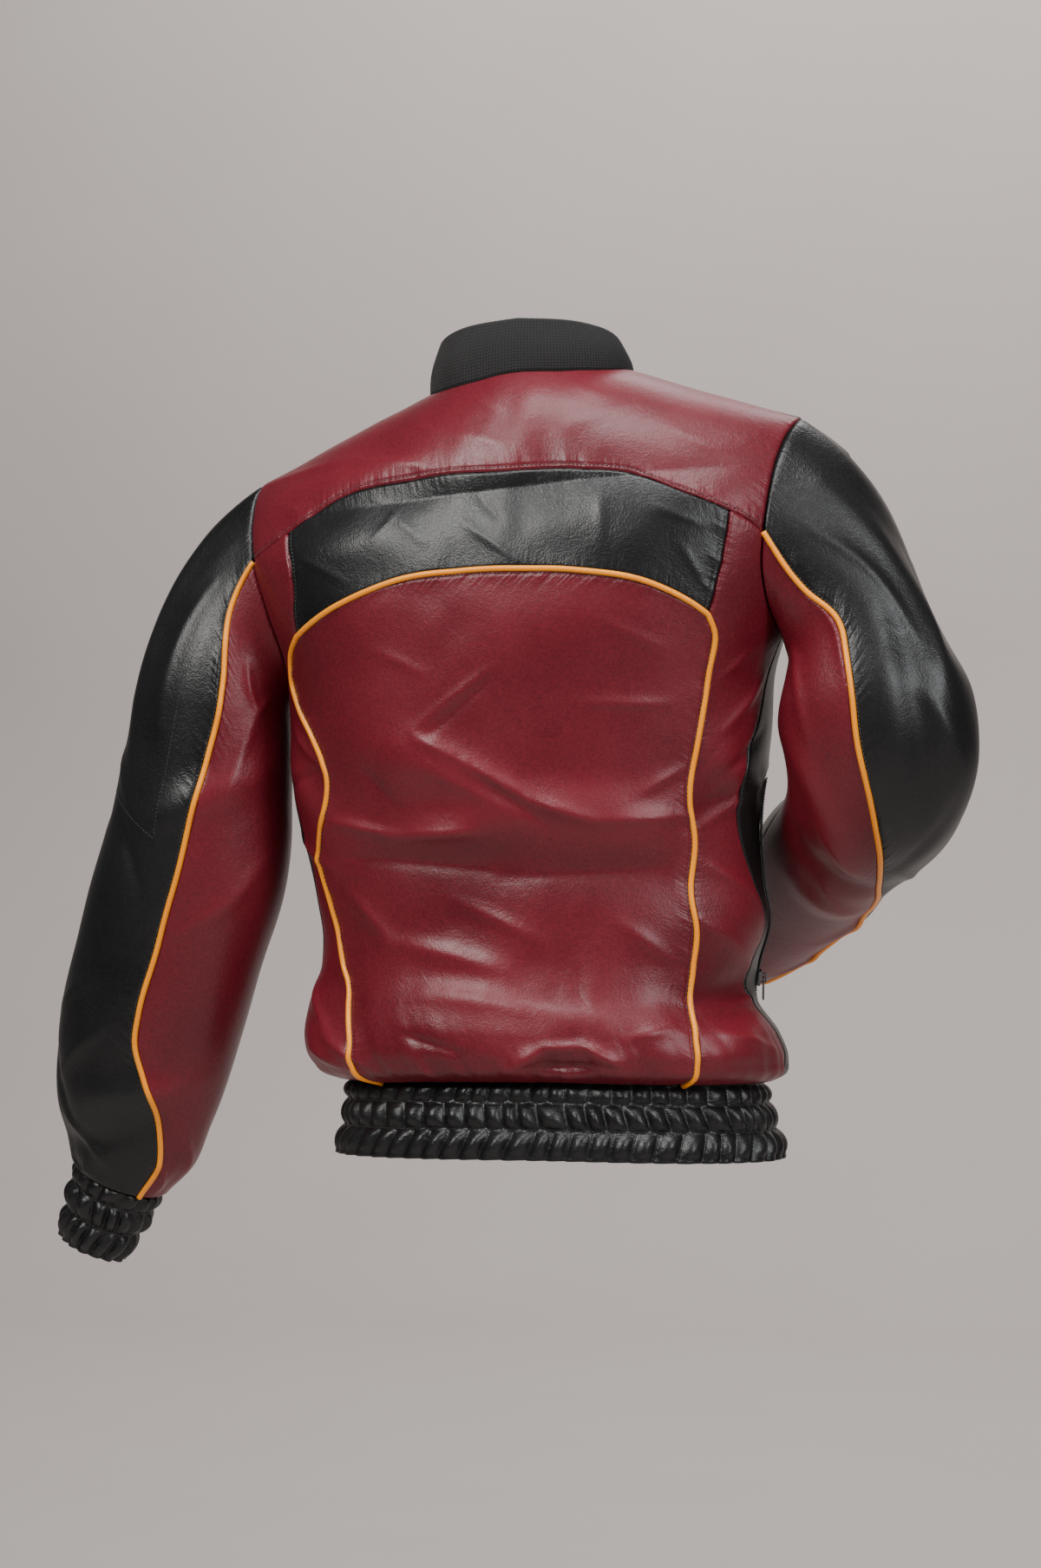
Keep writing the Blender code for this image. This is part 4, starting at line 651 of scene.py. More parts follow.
arm_back = {side: armhole(side, np.linspace(0.0, YOKE_AT_ARMHOLE[side], 80)) for side in (-1, 1)}
yoke_parts = [seam(rows) for rows in YOKE_SEAM]
yoke_seam = np.vstack((yoke_parts[0], yoke_parts[1][1:], yoke_parts[2][1:]))
yoke_seam[0], yoke_seam[-1] = arm_back[-1][-1], arm_back[1][-1]
back_neck = neckline(np.linspace(-89.99, 89.99, 90))
yoke_top = np.vstack((shoulder_line(-1, False)[::-1], back_neck[1:-1], shoulder_line(1, False)))
yoke_place = patch(yoke_top, yoke_seam, arm_back[-1], arm_back[1], crowded(64, 0.6), crowded(190, 0.3))
body_panel("back_yoke", yoke_place, {"top": "seam", "bottom": "seam*", "left": "seam", "right": "seam"},
           RED_LEATHER, RED_THREAD)


# Upper back panel: black leather sewn in between the yoke and the arched piping. Both its ends are
# turned under and topstitched to the side backs.
BLACK_EDGES = {
    -1: ((-65.0, -0.086), (-62.5, -0.120), (-64.5, -0.1735)),
    1: ((62.5, -0.112), (61.0, -0.148), (58.5, -0.1945)),
}
ARCH = ((-64.5, -0.1735), (-52.0, -0.154), (-37.0, -0.140), (-15.0, -0.138), (7.0, -0.142),
        (25.0, -0.148), (43.0, -0.162), (54.0, -0.183), (58.5, -0.1945))
arch = seam(ARCH)
black_edges = {side: seam(BLACK_EDGES[side]) for side in (-1, 1)}
black_place = patch(yoke_parts[1], arch, black_edges[-1], black_edges[1],
                    crowded(64, 0.6), crowded(170, 0.45))
body_panel("back_upper_panel", black_place,
           {"top": "seam", "bottom": "cord", "left": "seam*", "right": "seam*"},
           BLACK_LEATHER, BLACK_THREAD)


# Centre back: the large red panel inside the piping, topstitched all along it and gathered a little
# into the waistband.
PIPING_SIDES = {
    -1: ((-64.5, -0.1735), (-70.0, -0.189), (-72.0, -0.208), (-68.5, -0.231), (-63.0, -0.258),
         (-60.0, -0.290), (-61.5, -0.316), (-65.5, -0.338), (-69.0, -0.360), (-68.5, -0.405),
         (-65.0, -0.452), (-57.5, -0.486), (-54.0, -0.522), (-56.0, -0.558)),
    1: ((58.5, -0.1945), (61.0, -0.210), (62.0, -0.240), (61.0, -0.298), (60.5, -0.338),
        (62.0, -0.368), (59.5, -0.420), (61.0, -0.458), (61.0, -0.490), (56.0, -0.522),
        (54.0, -0.558)),
}
piping_sides = {side: seam(PIPING_SIDES[side]) for side in (-1, 1)}


def hem_line(start, end):
    return np.column_stack((np.linspace(start, end, 50), np.full(50, HEM)))


centre_place = patch(arch, hem_line(piping_sides[-1][-1, 0], piping_sides[1][-1, 0]), piping_sides[-1],
                     piping_sides[1], crowded(200, 0.45), crowded(170, 0.6))
body_panel("back_centre_panel", centre_place,
           {"top": "cord*", "bottom": "seam", "left": "cord*", "right": "cord*"},
           RED_LEATHER, RED_THREAD)


# Side backs: two pieces of red leather from the yoke seam past the armhole down to the waistband,
# sewn to the piping on one edge and with a plain seam to the front on the other.
SIDE_SEAMS = {
    -1: ((-90.0, -0.2115), (-84.0, -0.260), (-79.0, -0.300), (-77.0, -0.350), (-79.0, -0.420),
         (-81.0, -0.470), (-88.0, -0.530), (-88.0, -0.558)),
    1: ((90.0, -0.2115), (83.0, -0.260), (77.0, -0.305), (75.5, -0.350), (82.0, -0.405),
        (88.0, -0.440), (84.0, -0.480), (90.0, -0.525), (91.0, -0.558)),
}
side_seams = {side: seam(SIDE_SEAMS[side]) for side in (-1, 1)}
for side in (-1, 1):
    under_arm = armhole(side, np.linspace(YOKE_AT_ARMHOLE[side], 180.0, 80))
    outer_edge = np.vstack((under_arm, side_seams[side][1:]))
    inner_edge = np.vstack((black_edges[side], piping_sides[side][1:]))
    top_edge = yoke_parts[0][::-1].copy() if side < 0 else yoke_parts[2].copy()
    top_edge[-1] = under_arm[0]
    side_place = patch(top_edge, hem_line(inner_edge[-1, 0], outer_edge[-1, 0]), inner_edge, outer_edge,
                       crowded(210, 0.2), crowded(44, 0.6))
    body_panel("back_side_" + SIDE_NAMES[side], side_place,
               {"top": "seam", "bottom": "seam", "left": "cord", "right": "seam"},
               RED_LEATHER)


# Fronts: two pieces of black leather from the shoulder seams to the waistband, plainly sewn all
# round, and turned back and topstitched beside the zip.
ZIP_OPENING = 0.0058         # half of the opening between the fronts
for side in (-1, 1):
    front_neck = neckline(side * np.linspace(90.001, 179.999, 60))
    opening = side * (180.0 - np.degrees(ZIP_OPENING / 0.125))
    front_neck[:, 0] = np.where(np.abs(front_neck[:, 0]) > abs(opening), opening, front_neck[:, 0])
    centre_line = np.column_stack((np.full(120, opening), np.linspace(front_neck[-1, 1], HEM, 120)))
    inner_edge = np.vstack((front_neck, centre_line[1:]))
    outer_edge = np.vstack((armhole(side, np.linspace(359.999, 180.0, 120)), side_seams[side][1:]))
    front_place = patch(shoulder_line(side, True)[::-1], hem_line(outer_edge[-1, 0], inner_edge[-1, 0]),
                        outer_edge, inner_edge, crowded(145, 0.3), crowded(70, 0.5))
    body_panel("front_" + SIDE_NAMES[side], front_place,
               {"top": "seam", "bottom": "seam", "left": "seam", "right": "seam*"},
               BLACK_LEATHER, BLACK_THREAD)


# Piping: a cord wrapped in thin orange leather. Its lip is caught in the seam round the centre
# back, up one side, over the arch and down the other.
PIPING_RADIUS = 0.0024


def piping_leather():
    """Thin orange leather pulled tight round a cord: faint cross wrinkles and a worn shine."""
    material = new_material("orange piping leather", {"Roughness": 0.42, "Coat Weight": 0.15})
    place = in_space(material)
    colour(material, noise(material, place, 60.0, 4.0), (1.0, 0.27, 0.0), (1.0, 0.36, 0.0))
    bump(material, noise(material, place, 500.0, 3.0), 0.0003, 0.5)
    return material


ORANGE_PIPING = piping_leather()
CORD_SIDES = 10


def piping_cord(name, path, normal, node):
    """Round cord along a path, with its ends closed."""
    along = unit(np.gradient(path, axis=0))
    up = unit(normal - along * np.sum(normal * along, axis=-1, keepdims=True))
    across = np.cross(along, up)
    turn = (np.arange(CORD_SIDES) * 2 * math.pi / CORD_SIDES)[None, :, None]
    rings = path[:, None] + PIPING_RADIUS * (across[:, None] * np.cos(turn) + up[:, None] * np.sin(turn))
    index = np.arange(len(path) * CORD_SIDES).reshape(len(path), CORD_SIDES)
    after = np.roll(index, -1, axis=1)
    faces = np.stack((index[:-1], after[:-1], after[1:], index[1:]), -1).reshape(-1, 4)[:, ::-1].tolist()
    faces += [index[0].tolist(), index[-1, ::-1].tolist()]
    piece = mesh_piece(name, rings.reshape(-1, 3), faces)
    lay_down(piece, ORANGE_PIPING, (node,))


piping_line = np.vstack((piping_sides[-1][::-1], arch[1:-1], piping_sides[1]))
piping_line = shares(piping_line, np.linspace(0.0, 1.0, 500))
on_body, out_body = body(piping_line)
piping_cord("back_piping_cord", on_body, out_body, "back_piping")


# Sleeves: two pieces each, a black outer and a red under sleeve. The piping is in the back seam and
# the front seam is plain. The left one hangs, the right one is bent forward at the elbow.
# columns: x, y, z, half_width (across the body), half_depth (front to back)
SLEEVES = {
    -1: ((-0.272, -0.002, -0.250, 0.0665, 0.068), (-0.280, -0.004, -0.310, 0.0745, 0.068),
         (-0.291, -0.004, -0.382, 0.0805, 0.066), (-0.306, 0.000, -0.428, 0.0805, 0.064),
         (-0.324, 0.006, -0.490, 0.0790, 0.062), (-0.341, 0.014, -0.552, 0.0740, 0.058),
         (-0.350, 0.020, -0.593, 0.0665, 0.053), (-0.355, 0.025, -0.624, 0.0560, 0.047),
         (-0.3655, 0.029, -0.648, 0.0420, 0.041)),
    1: ((0.283, -0.020, -0.210, 0.0670, 0.064), (0.291, -0.030, -0.250, 0.0800, 0.064),
        (0.295, -0.031, -0.287, 0.0780, 0.054), (0.287, -0.008, -0.323, 0.0710, 0.050),
        (0.265, 0.036, -0.349, 0.0630, 0.051), (0.240, 0.088, -0.368, 0.0600, 0.056),
        (0.217, 0.132, -0.388, 0.0580, 0.056), (0.190, 0.175, -0.412, 0.0540, 0.052),
        (0.163, 0.207, -0.434, 0.0480, 0.046), (0.135, 0.232, -0.452, 0.0420, 0.041)),
}
BEND = 0.030                 # the sleeve's direction is taken over this length each way
CAP_FULLNESS, CAP_END = 1.25, 1.1   # how strongly the cap leaves the armhole and meets its first ring

# Where the sleeve seams run. columns: share of the length, place round
BACK_SEAM = {
    -1: ((0.0, 71.7), (0.05, 84.0), (0.10, 98.0), (0.15, 107.0), (0.20, 110.0), (0.30, 105.0),
         (0.40, 98.0), (0.50, 94.0), (0.60, 94.0), (0.70, 92.0), (0.75, 94.0), (0.80, 104.0),
         (0.86, 118.0), (0.92, 127.0), (1.0, 131.0)),
    1: ((0.0, 95.0), (0.05, 103.0), (0.10, 107.0), (0.20, 101.0), (0.30, 98.5), (0.35, 98.0),
        (0.40, 91.0), (0.45, 83.0), (0.50, 75.0), (0.55, 66.0), (0.62, 54.0), (0.70, 45.0),
        (0.85, 39.0), (1.0, 42.0)),
}
FRONT_SEAM = {
    -1: ((0.0, 235.0), (0.3, 228.0), (1.0, 225.0)),
    1: ((0.0, 235.0), (0.3, 225.0), (0.55, 200.0), (0.75, 165.0), (1.0, 160.0)),
}

# Folds of the sleeves, as in the solids
# columns: share_from, round_from, share_to, round_to, half_width, rise
SLEEVE_FOLDS = {
    -1: ((0.05, 20.0, 0.35, 50.0, 0.014, 0.0050), (0.10, 5.0, 0.40, 15.0, 0.014, -0.0045),
         (0.30, 150.0, 0.42, 60.0, 0.016, 0.0045), (0.80, 140.0, 0.86, 60.0, 0.014, 0.0045),
         (0.88, 120.0, 0.95, 40.0, 0.011, -0.0035), (0.45, 290.0, 0.55, 350.0, 0.018, 0.0050),
         (0.62, 300.0, 0.70, 230.0, 0.016, 0.0045)),
    1: ((0.05, 40.0, 0.30, 30.0, 0.014, 0.0050), (0.22, 62.0, 0.45, 58.0, 0.014, -0.0050),
        (0.34, 150.0, 0.50, 100.0, 0.014, 0.0055), (0.50, 155.0, 0.56, 60.0, 0.013, -0.0040),
        (0.60, 130.0, 0.66, 60.0, 0.014, 0.0045), (0.45, 0.0, 0.56, 40.0, 0.016, 0.0045),
        (0.70, 20.0, 0.80, 60.0, 0.014, 0.0040)),
}

# Finer creases of the sleeves; the same columns
SLEEVE_CREASES = {
    -1: ((0.06, 60.0, 0.26, 66.0, 0.008, 0.0018), (0.08, 95.0, 0.24, 110.0, 0.007, 0.0020),
         (0.10, 120.0, 0.22, 140.0, 0.007, 0.0018), (0.14, 150.0, 0.34, 120.0, 0.009, 0.0016),
         (0.30, 20.0, 0.40, 60.0, 0.009, 0.0016), (0.40, 45.0, 0.52, 75.0, 0.010, -0.0016),
         (0.44, 150.0, 0.56, 105.0, 0.010, 0.0018), (0.66, 60.0, 0.74, 20.0, 0.011, 0.0020),
         (0.74, 70.0, 0.84, 30.0, 0.010, 0.0022), (0.80, 10.0, 0.90, 50.0, 0.010, -0.0018),
         (0.90, 40.0, 0.96, 85.0, 0.008, 0.0024), (0.93, 125.0, 0.985, 150.0, 0.007, 0.0022),
         (0.88, 140.0, 0.95, 170.0, 0.008, 0.0020), (0.30, 300.0, 0.42, 345.0, 0.010, 0.0020),
         (0.48, 250.0, 0.58, 300.0, 0.010, 0.0020), (0.76, 260.0, 0.86, 320.0, 0.010, 0.0022)),
    1: ((0.06, 70.0, 0.24, 50.0, 0.008, 0.0018), (0.14, 20.0, 0.30, 40.0, 0.009, 0.0018),
        (0.12, 110.0, 0.30, 100.0, 0.008, 0.0020), (0.18, 150.0, 0.34, 130.0, 0.008, 0.0022),
        (0.30, 60.0, 0.38, 20.0, 0.010, 0.0018), (0.36, 95.0, 0.46, 75.0, 0.009, 0.0022),
        (0.40, 30.0, 0.50, 70.0, 0.010, -0.0018), (0.44, 130.0, 0.52, 90.0, 0.009, 0.0024),
        (0.50, 60.0, 0.58, 20.0, 0.010, 0.0018), (0.56, 110.0, 0.64, 80.0, 0.009, 0.0020),
        (0.36, 200.0, 0.40, 290.0, 0.007, 0.0030), (0.42, 190.0, 0.44, 290.0, 0.007, -0.0026),
        (0.46, 200.0, 0.47, 280.0, 0.008, 0.0028), (0.33, 230.0, 0.35, 300.0, 0.007, -0.0022),
        (0.66, 300.0, 0.76, 350.0, 0.010, 0.0020), (0.84, 20.0, 0.94, 60.0, 0.009, 0.0020)),
}


def stations(side):
    """The sleeve's rows with the length down its middle line in front, from the armhole's middle."""
    rows = np.asarray(SLEEVES[side], float)
    loop, _ = body(armhole(side, np.arange(0.0, 360.0, 10.0)))
    length = travelled(np.vstack((loop.mean(axis=0)[None], rows[:, :3])))[1:]
    return np.column_stack((length, rows))


sleeve_rows = {side: stations(side) for side in (-1, 1)}


def sleeve_ring(side, rounds, down):
    """Ellipse square to the sleeve's direction at a length down it."""
    rows = sleeve_rows[side]
    here = table(rows, down)
    along = unit(table(rows, down + BEND)[..., :3] - table(rows, down - BEND)[..., :3])
    out = unit(np.array((side, 0.0, 0.0)) - along * (side * along[..., :1]))
    back = side * np.cross(along, out)
    turn = np.radians(rounds)[..., None]
    return here[..., :3] + out * here[..., 3:4] * np.cos(turn) + back * here[..., 4:5] * np.sin(turn)


def sleeve_bare(side, rounds, down):
    """Below the cap the sleeve is its rings. The cap is a cubic from each armhole point to its ring."""
    cap = sleeve_rows[side][0, 0]
    share = np.clip(down / cap, 0.0, 1.0)[..., None]
    loop, _ = body(armhole(side, rounds))
    ring = sleeve_ring(side, rounds, np.maximum(down, cap))
    first = sleeve_ring(side, rounds, np.full_like(down, cap))
    onward = sleeve_ring(side, rounds, np.full_like(down, cap + 0.006)) - first
    turn = np.cos(np.radians(rounds))
    leaving = unit(np.stack((side * (0.68 + 0.17 * turn), 0.0 * turn, -0.68 + 0.17 * turn), axis=-1))
    reach = np.linalg.norm(first - loop, axis=-1, keepdims=True)
    cap_curve = cubic(share, loop, leaving * reach * CAP_FULLNESS, first, unit(onward) * reach * CAP_END)
    return np.where(share < 1.0, cap_curve, ring)


ROUND_DEGREE = 0.0012        # metres round the sleeve for one degree
SLEEVE_GATHER_RISE, SLEEVE_GATHER_REACH, SLEEVE_GATHERS = 0.0026, 0.022, 30
SLEEVE_SWELL_RISE, SLEEVE_SWELLS = 0.0014, 8


def sleeve_relief(side, rounds, down):
    """Folds, creases, gathers above the cuff, and slight unevenness; none at the armhole seam."""
    length = sleeve_rows[side][-1, 0]
    metric = np.array((length, ROUND_DEGREE))
    place = np.stack((down / length, np.mod(rounds, 360.0)), axis=-1) * metric
    fade = smooth_step(down, 0.0, 0.03) * (1.0 - smooth_step(down, length - 0.008, length))
    low = np.exp(-(length - down) / SLEEVE_GATHER_REACH)
    gathers = (SLEEVE_GATHER_RISE * low
               * uneven(rounds * SLEEVE_GATHERS / 360.0, 18.0 * down, 21 + side, SLEEVE_GATHERS))
    wide = SLEEVE_SWELL_RISE * uneven(rounds * SLEEVE_SWELLS / 360.0, down / 0.055, 31 + side, SLEEVE_SWELLS)
    return (folds(place, SLEEVE_FOLDS[side], metric)
            + 1.25 * folds(place, SLEEVE_CREASES[side], metric, pinched=True) + gathers + wide) * fade


def sleeve(side, rounds, down):
    """Points and outward directions of a sleeve, relief included."""
    length = sleeve_rows[side][-1, 0]
    at = sleeve_bare(side, rounds, down)
    round_step = sleeve_bare(side, rounds + 0.5, down) - sleeve_bare(side, rounds - 0.5, down)
    down_step = (sleeve_bare(side, rounds, np.minimum(down + 0.0005, length))
                 - sleeve_bare(side, rounds, np.maximum(down - 0.0005, 0.0)))
    normal = unit(side * np.cross(round_step, down_step))
    return at + normal * sleeve_relief(side, rounds, down)[..., None], normal


for side in (-1, 1):
    length = sleeve_rows[side][-1, 0]
    down_shares = crowded(190, 0.25)
    front_behind = np.array(FRONT_SEAM[side]) - np.array((0.0, 360.0))
    for node, start, end, cells, edges, material, slot, thread in (
            ("sleeve_outer_", front_behind, BACK_SEAM[side], 86,
             {"left": "seam", "right": "cord*", "top": "seam", "bottom": "seam"},
             BLACK_LEATHER, "black_leather", BLACK_THREAD),
            ("sleeve_under_", BACK_SEAM[side], FRONT_SEAM[side], 62,
             {"left": "cord", "right": "seam", "top": "seam", "bottom": "seam"},
             RED_LEATHER, "red_leather", RED_THREAD)):
        first, last = table(start, down_shares), table(end, down_shares)
        rounds = first + (last - first) * crowded(cells, 0.5)[None]
        down = np.broadcast_to(down_shares[:, None] * length, rounds.shape).copy()
        point, outward = sleeve(side, rounds, down)
        outer, pull = sewn(point, outward, edges)
        name = node + SIDE_NAMES[side]
        # for the colour: wear lighter on the ridges, painted shade darker in the troughs
        values = dict(pull, wear_and_shade=ridge_wear_and_trough_shade(sleeve_relief(side, rounds, down)))
        cloth_wall(name + "_leather", outer, outward, LEATHER_THICKNESS, values, material, name)
        if edges["right"].endswith("*"):
            line, up = inset_line(outer, outward, "right", STITCH_INSET)
            stitches(name + "_stitches", line, up, thread)
    share = np.linspace(0.0, 1.0, 300)
    line, up = sleeve(side, table(BACK_SEAM[side], share)[:, 0], share * length)
    name = "sleeve_piping_" + SIDE_NAMES[side]
    piping_cord(name + "_cord", line, up, name)


# Piecing seams of the left outer sleeve: two faint lines where the black leather is joined, sewn
# with black thread from the inside, so that only small stitches show.
# columns: share of the length, place round
PIECING_SEAMS = (((0.12, 80.0), (0.43, 77.0)), ((0.365, 24.0), (0.435, 80.0)))
for number, (start, end) in enumerate(PIECING_SEAMS):
    path = np.linspace(start, end, 120)
    line, up = sleeve(-1, path[:, 1], path[:, 0] * sleeve_rows[-1][-1, 0])
    stitches("sleeve_outer_left_piecing_%d" % number, line, up, BLACK_THREAD, 0.0003)


# Cuffs: black leather gathered on wide elastic, with two rows of stitching between three puffed
# rows. The gathers lean over, as they do where the elastic pulls unevenly.
CUFF_END = {-1: (-0.393, 0.036, -0.708), 1: (0.087, 0.269, -0.480)}
CUFF_START_HALF, CUFF_END_HALF = 0.0375, 0.0270
CUFF_GATHERS = 16
CLEAR = 0.0003               # gap between the sleeve and its cuff, at each side of the seam
CUFF_ROWS = 45
BAND_THICKNESS = 0.0016

# Puffed rows of a band. columns: share from, share to, stand-off, lean of its gathers, phase
PUFF_ROWS = (
    (0.00, 0.24, 0.0046, 0.20, 0.00), (0.24, 0.60, 0.0070, -0.22, 0.45), (0.60, 1.00, 0.0072, 0.50, 0.10),
)


PUFF_WOBBLE, PUFF_UNEVEN = 0.24, 0.22        # gathers stray sideways and differ in height by this share


def puffs(share, turns, gathers, seed):
    """Stand-off of gathered leather: in each row broad pillows with narrow pinched valleys between."""
    total = np.zeros(np.broadcast(share, turns).shape)
    for row, (low, high, stand, lean, phase) in enumerate(PUFF_ROWS):
        inside = np.clip((share - low) / (high - low), 0.0, 1.0)
        wobble = PUFF_WOBBLE * uneven(turns * gathers / 2, 0.0 * share, seed + row, gathers // 2)
        wave = np.abs(np.sin(math.pi * (gathers * turns + wobble + phase + lean * (inside - 0.5))))
        pillow = 0.10 + 0.90 * wave**0.85
        bulge = np.sin(math.pi * np.minimum(inside, 0.86 if high == 1.0 else 1.0))**0.62
        tall = 1.0 + PUFF_UNEVEN * uneven(turns * gathers, 0.0 * share, seed + 7 + row, gathers)
        here = (share >= low) & ((share < high) | (high == 1.0))
        total += np.where(here, stand * bulge * pillow * tall, 0.0)
    return total


def gathered_leather(name, base, out, share, turns, gathers, node, seed, wrap):
    """Wall of gathered leather on a base surface, with its rows of elastic stitching."""
    stand = puffs(share, turns, gathers, seed)
    outer = base + out * (stand + 0.0004)[..., None]
    # colour share: puffs lighter where they stand out, as wear, and darker in the valleys between them as
    # painted shade
    values = {"wear_and_shade": np.clip(stand / 0.006, 0.0, 1.0) * 0.5 - 0.1, "pull_down": 0.25 + 0.0 * stand,
              "pull_across": 0.0 * stand}
    cloth_wall(name, outer, out, BAND_THICKNESS, values, BLACK_LEATHER, node,
               wrap)
    for row in PUFF_ROWS[:2]:
        k = int(np.argmin(np.abs(share[:, 0] - row[1])))
        line = outer[k] + out[k] * 0.0002
        stitches(name + "_stitches_%d" % round(100 * row[1]), line, out[k], BLACK_THREAD)


for side in (-1, 1):
    start, end = sleeve_rows[side][-1, 1:4], np.array(CUFF_END[side])
    along = (end - start) / np.linalg.norm(end - start)
    out = unit(np.array((side, 0.0, 0.0)) - along * side * along[0])
    back = side * np.cross(along, out)
    share = np.linspace(0.0, 1.0, CUFF_ROWS)[:, None]
    turns = (np.arange(CUFF_GATHERS * 14) / (CUFF_GATHERS * 14))[None]
    turn = (2 * math.pi * turns)[..., None]
    radial = np.broadcast_to(out * np.cos(turn) + back * np.sin(turn), (CUFF_ROWS, turns.size, 3))
    half = (CUFF_START_HALF + (CUFF_END_HALF - CUFF_START_HALF) * share)[..., None]
    middle = start + along * 2 * CLEAR + (end - start - along * 2 * CLEAR) * share[..., None]
    share, turns = np.broadcast_arrays(share, turns)
    gathered_leather("cuff_leather_" + SIDE_NAMES[side], middle + radial * half, radial, share, turns,
                     CUFF_GATHERS, "cuff_" + SIDE_NAMES[side], 41 + side, True)


# Waistband: the same black leather gathered on wide elastic, sewn to the body all round and open
# at the zip.
# columns: height, centre_x, half_width, depth_back, depth_front
WAIST_ROWS = (
    (-0.6185, 0.0245, 0.1830, 0.120, 0.127),
    (-0.5900, 0.0240, 0.1770, 0.115, 0.122),
    (-0.5586, 0.0215, 0.1720, 0.108, 0.117),
)
WAIST_SQUARE = 2.3
WAIST_GATHERS = 56


def waist_base(angle, share):
    """Base ring of the waistband and its outward direction, at a share of the band's depth."""
    height = WAIST_ROWS[-1][0] + (WAIST_ROWS[0][0] - WAIST_ROWS[-1][0]) * share

    def at(turn):
        ring = table(WAIST_ROWS, height)
        centre, wide, back, front = [ring[..., k] for k in range(4)]
        sine, cosine = np.sin(np.radians(turn)), np.cos(np.radians(turn))
        deep = np.where(cosine > 0.0, back, front)
        reach = (np.abs(sine / wide)**WAIST_SQUARE + np.abs(cosine / deep)**WAIST_SQUARE)
        reach = reach**(-1.0 / WAIST_SQUARE)
        return np.stack((centre + reach * sine, -reach * cosine, height + HEM_RISE * cosine), axis=-1)

    along = at(angle + 0.05) - at(angle - 0.05)
    out = np.stack((along[..., 1], -along[..., 0], np.zeros_like(height)), axis=-1)
    return at(angle), unit(out)


half_gap = math.degrees(ZIP_OPENING / WAIST_ROWS[1][4])
round_band = np.linspace(-180.0 + half_gap, 180.0 - half_gap, 1500)
girth = travelled(waist_base(round_band, np.full(1500, 0.5))[0])
turns = np.linspace(0.0, 1.0, WAIST_GATHERS * 13 + 1)
angle, share = np.meshgrid(np.interp(turns * girth[-1], girth, round_band), np.linspace(-0.06, 1.0, 36))
base, out = waist_base(angle, share)
gathered_leather("waistband_leather", base, out, share, np.broadcast_to(turns, share.shape),
                 WAIST_GATHERS, "waistband", 51, False)


# Collar: a stand of doubled black rib knit, softer and duller than the leather, with a rounded fold
# on top. Its foot is sewn into the neckline, and its ends meet above the zip.
COLLAR_TOP_HALF_WIDTH, COLLAR_TOP_BACK, COLLAR_TOP_FRONT = 0.0755, 0.054, 0.070
COLLAR_TOP_HEIGHTS = ((0.0, 0.0690), (45.0, 0.0640), (90.0, 0.0500), (135.0, 0.0150), (180.0, -0.0180))
COLLAR_FRONT_GAP = 0.0045
COLLAR_SUNK = 0.0018         # its foot lies this far under the leather
COLLAR_BOW = 0.0025          # it stands out this far halfway up
COLLAR_BUCKLE = 0.0016       # and wavers by this much
RIB_WALL = 0.0040
RIBS = 190
RIB_DEPTH = 0.00045


def rib_knit():
    """Black rib knit: soft fibre noise darkened in the rib valleys as painted shade, pale fuzz as sheen, and
    stitch loops as a fine bump.
    """
    material = new_material("black rib knit", {"Roughness": 0.88, "Sheen Weight": 0.12,
                                               "Sheen Roughness": 0.5})
    fibre_and_rib_shade = noise(material, in_space(material), 900.0, 3.0)
    # colour: fibre noise times the painted shade of the rib valleys, carried on the mesh
    shade = worked_out(material, "MULTIPLY", fibre_and_rib_shade, attribute(material, "wear_and_shade"))
    colour(material, shade, (0.004, 0.004, 0.004), (0.022, 0.020, 0.020))
    loops = add_node(material, "ShaderNodeTexWave",
                     (("Vector", on_cut(material)), ("Scale", 160.0), ("Distortion", 1.5)),
                     bands_direction="Y")
    bump(material, loops.outputs["Fac"], 0.0003, 0.5)
    return material


turns = np.linspace(-179.999, 179.999, RIBS * 5 + 1)
on_body, lift = body(neckline(turns))
radians = np.radians(turns)
deep = np.where(np.cos(radians) > 0.0, COLLAR_TOP_BACK, COLLAR_TOP_FRONT)
x = COLLAR_TOP_HALF_WIDTH * np.sin(radians)
height = table(COLLAR_TOP_HEIGHTS, np.abs(turns))[:, 0] + TILT * x * 0.3
top = np.column_stack((x, -deep * np.cos(radians), height))
away = np.column_stack((np.sin(radians), -np.cos(radians), np.zeros_like(radians)))
low = on_body - lift * COLLAR_SUNK
fold_shares = 1.0 - 0.06 * np.array((0.6, 0.3, 0.1, 0.0))
share = np.concatenate((np.linspace(0.0, 0.94, 11), fold_shares))[:, None, None]
tall = np.linalg.norm(top - low, axis=-1)[None, :, None]
roll = np.clip((1.0 - share) * tall / (RIB_WALL / 2), 0.0, 1.0)
half = np.maximum(np.sqrt(1.0 - (1.0 - roll)**2), 0.04) * RIB_WALL / 2
rib = RIB_DEPTH * np.cos(RIBS * radians)[None, :, None]
buckle = (COLLAR_BUCKLE * uneven(turns[None] / 21.0, 0.7 * share[..., 0], 61)[..., None]
          * np.sin(math.pi * share))
bow = COLLAR_BOW * np.sin(math.pi * share) - RIB_WALL / 2 + buckle
middle = low[None] * (1 - share) + top[None] * share + away[None] * bow
outer = middle + away[None] * (half + rib * roll)
inner = middle - away[None] * (half - rib * roll)
section = np.concatenate((outer, inner[::-1]), axis=0)
for side in (-1, 1):
    end = (np.abs(turns) > 170.0) & (side * turns > 0.0)
    section[:, end, 0] = side * np.maximum(side * section[:, end, 0], COLLAR_FRONT_GAP)
rows, columns = section.shape[:2]
index = np.arange(rows * columns).reshape(rows, columns)
index = np.vstack((index, index[:1]))
faces = np.stack((index[:-1, :-1], index[:-1, 1:], index[1:, 1:], index[1:, :-1]), -1).reshape(-1, 4).tolist()
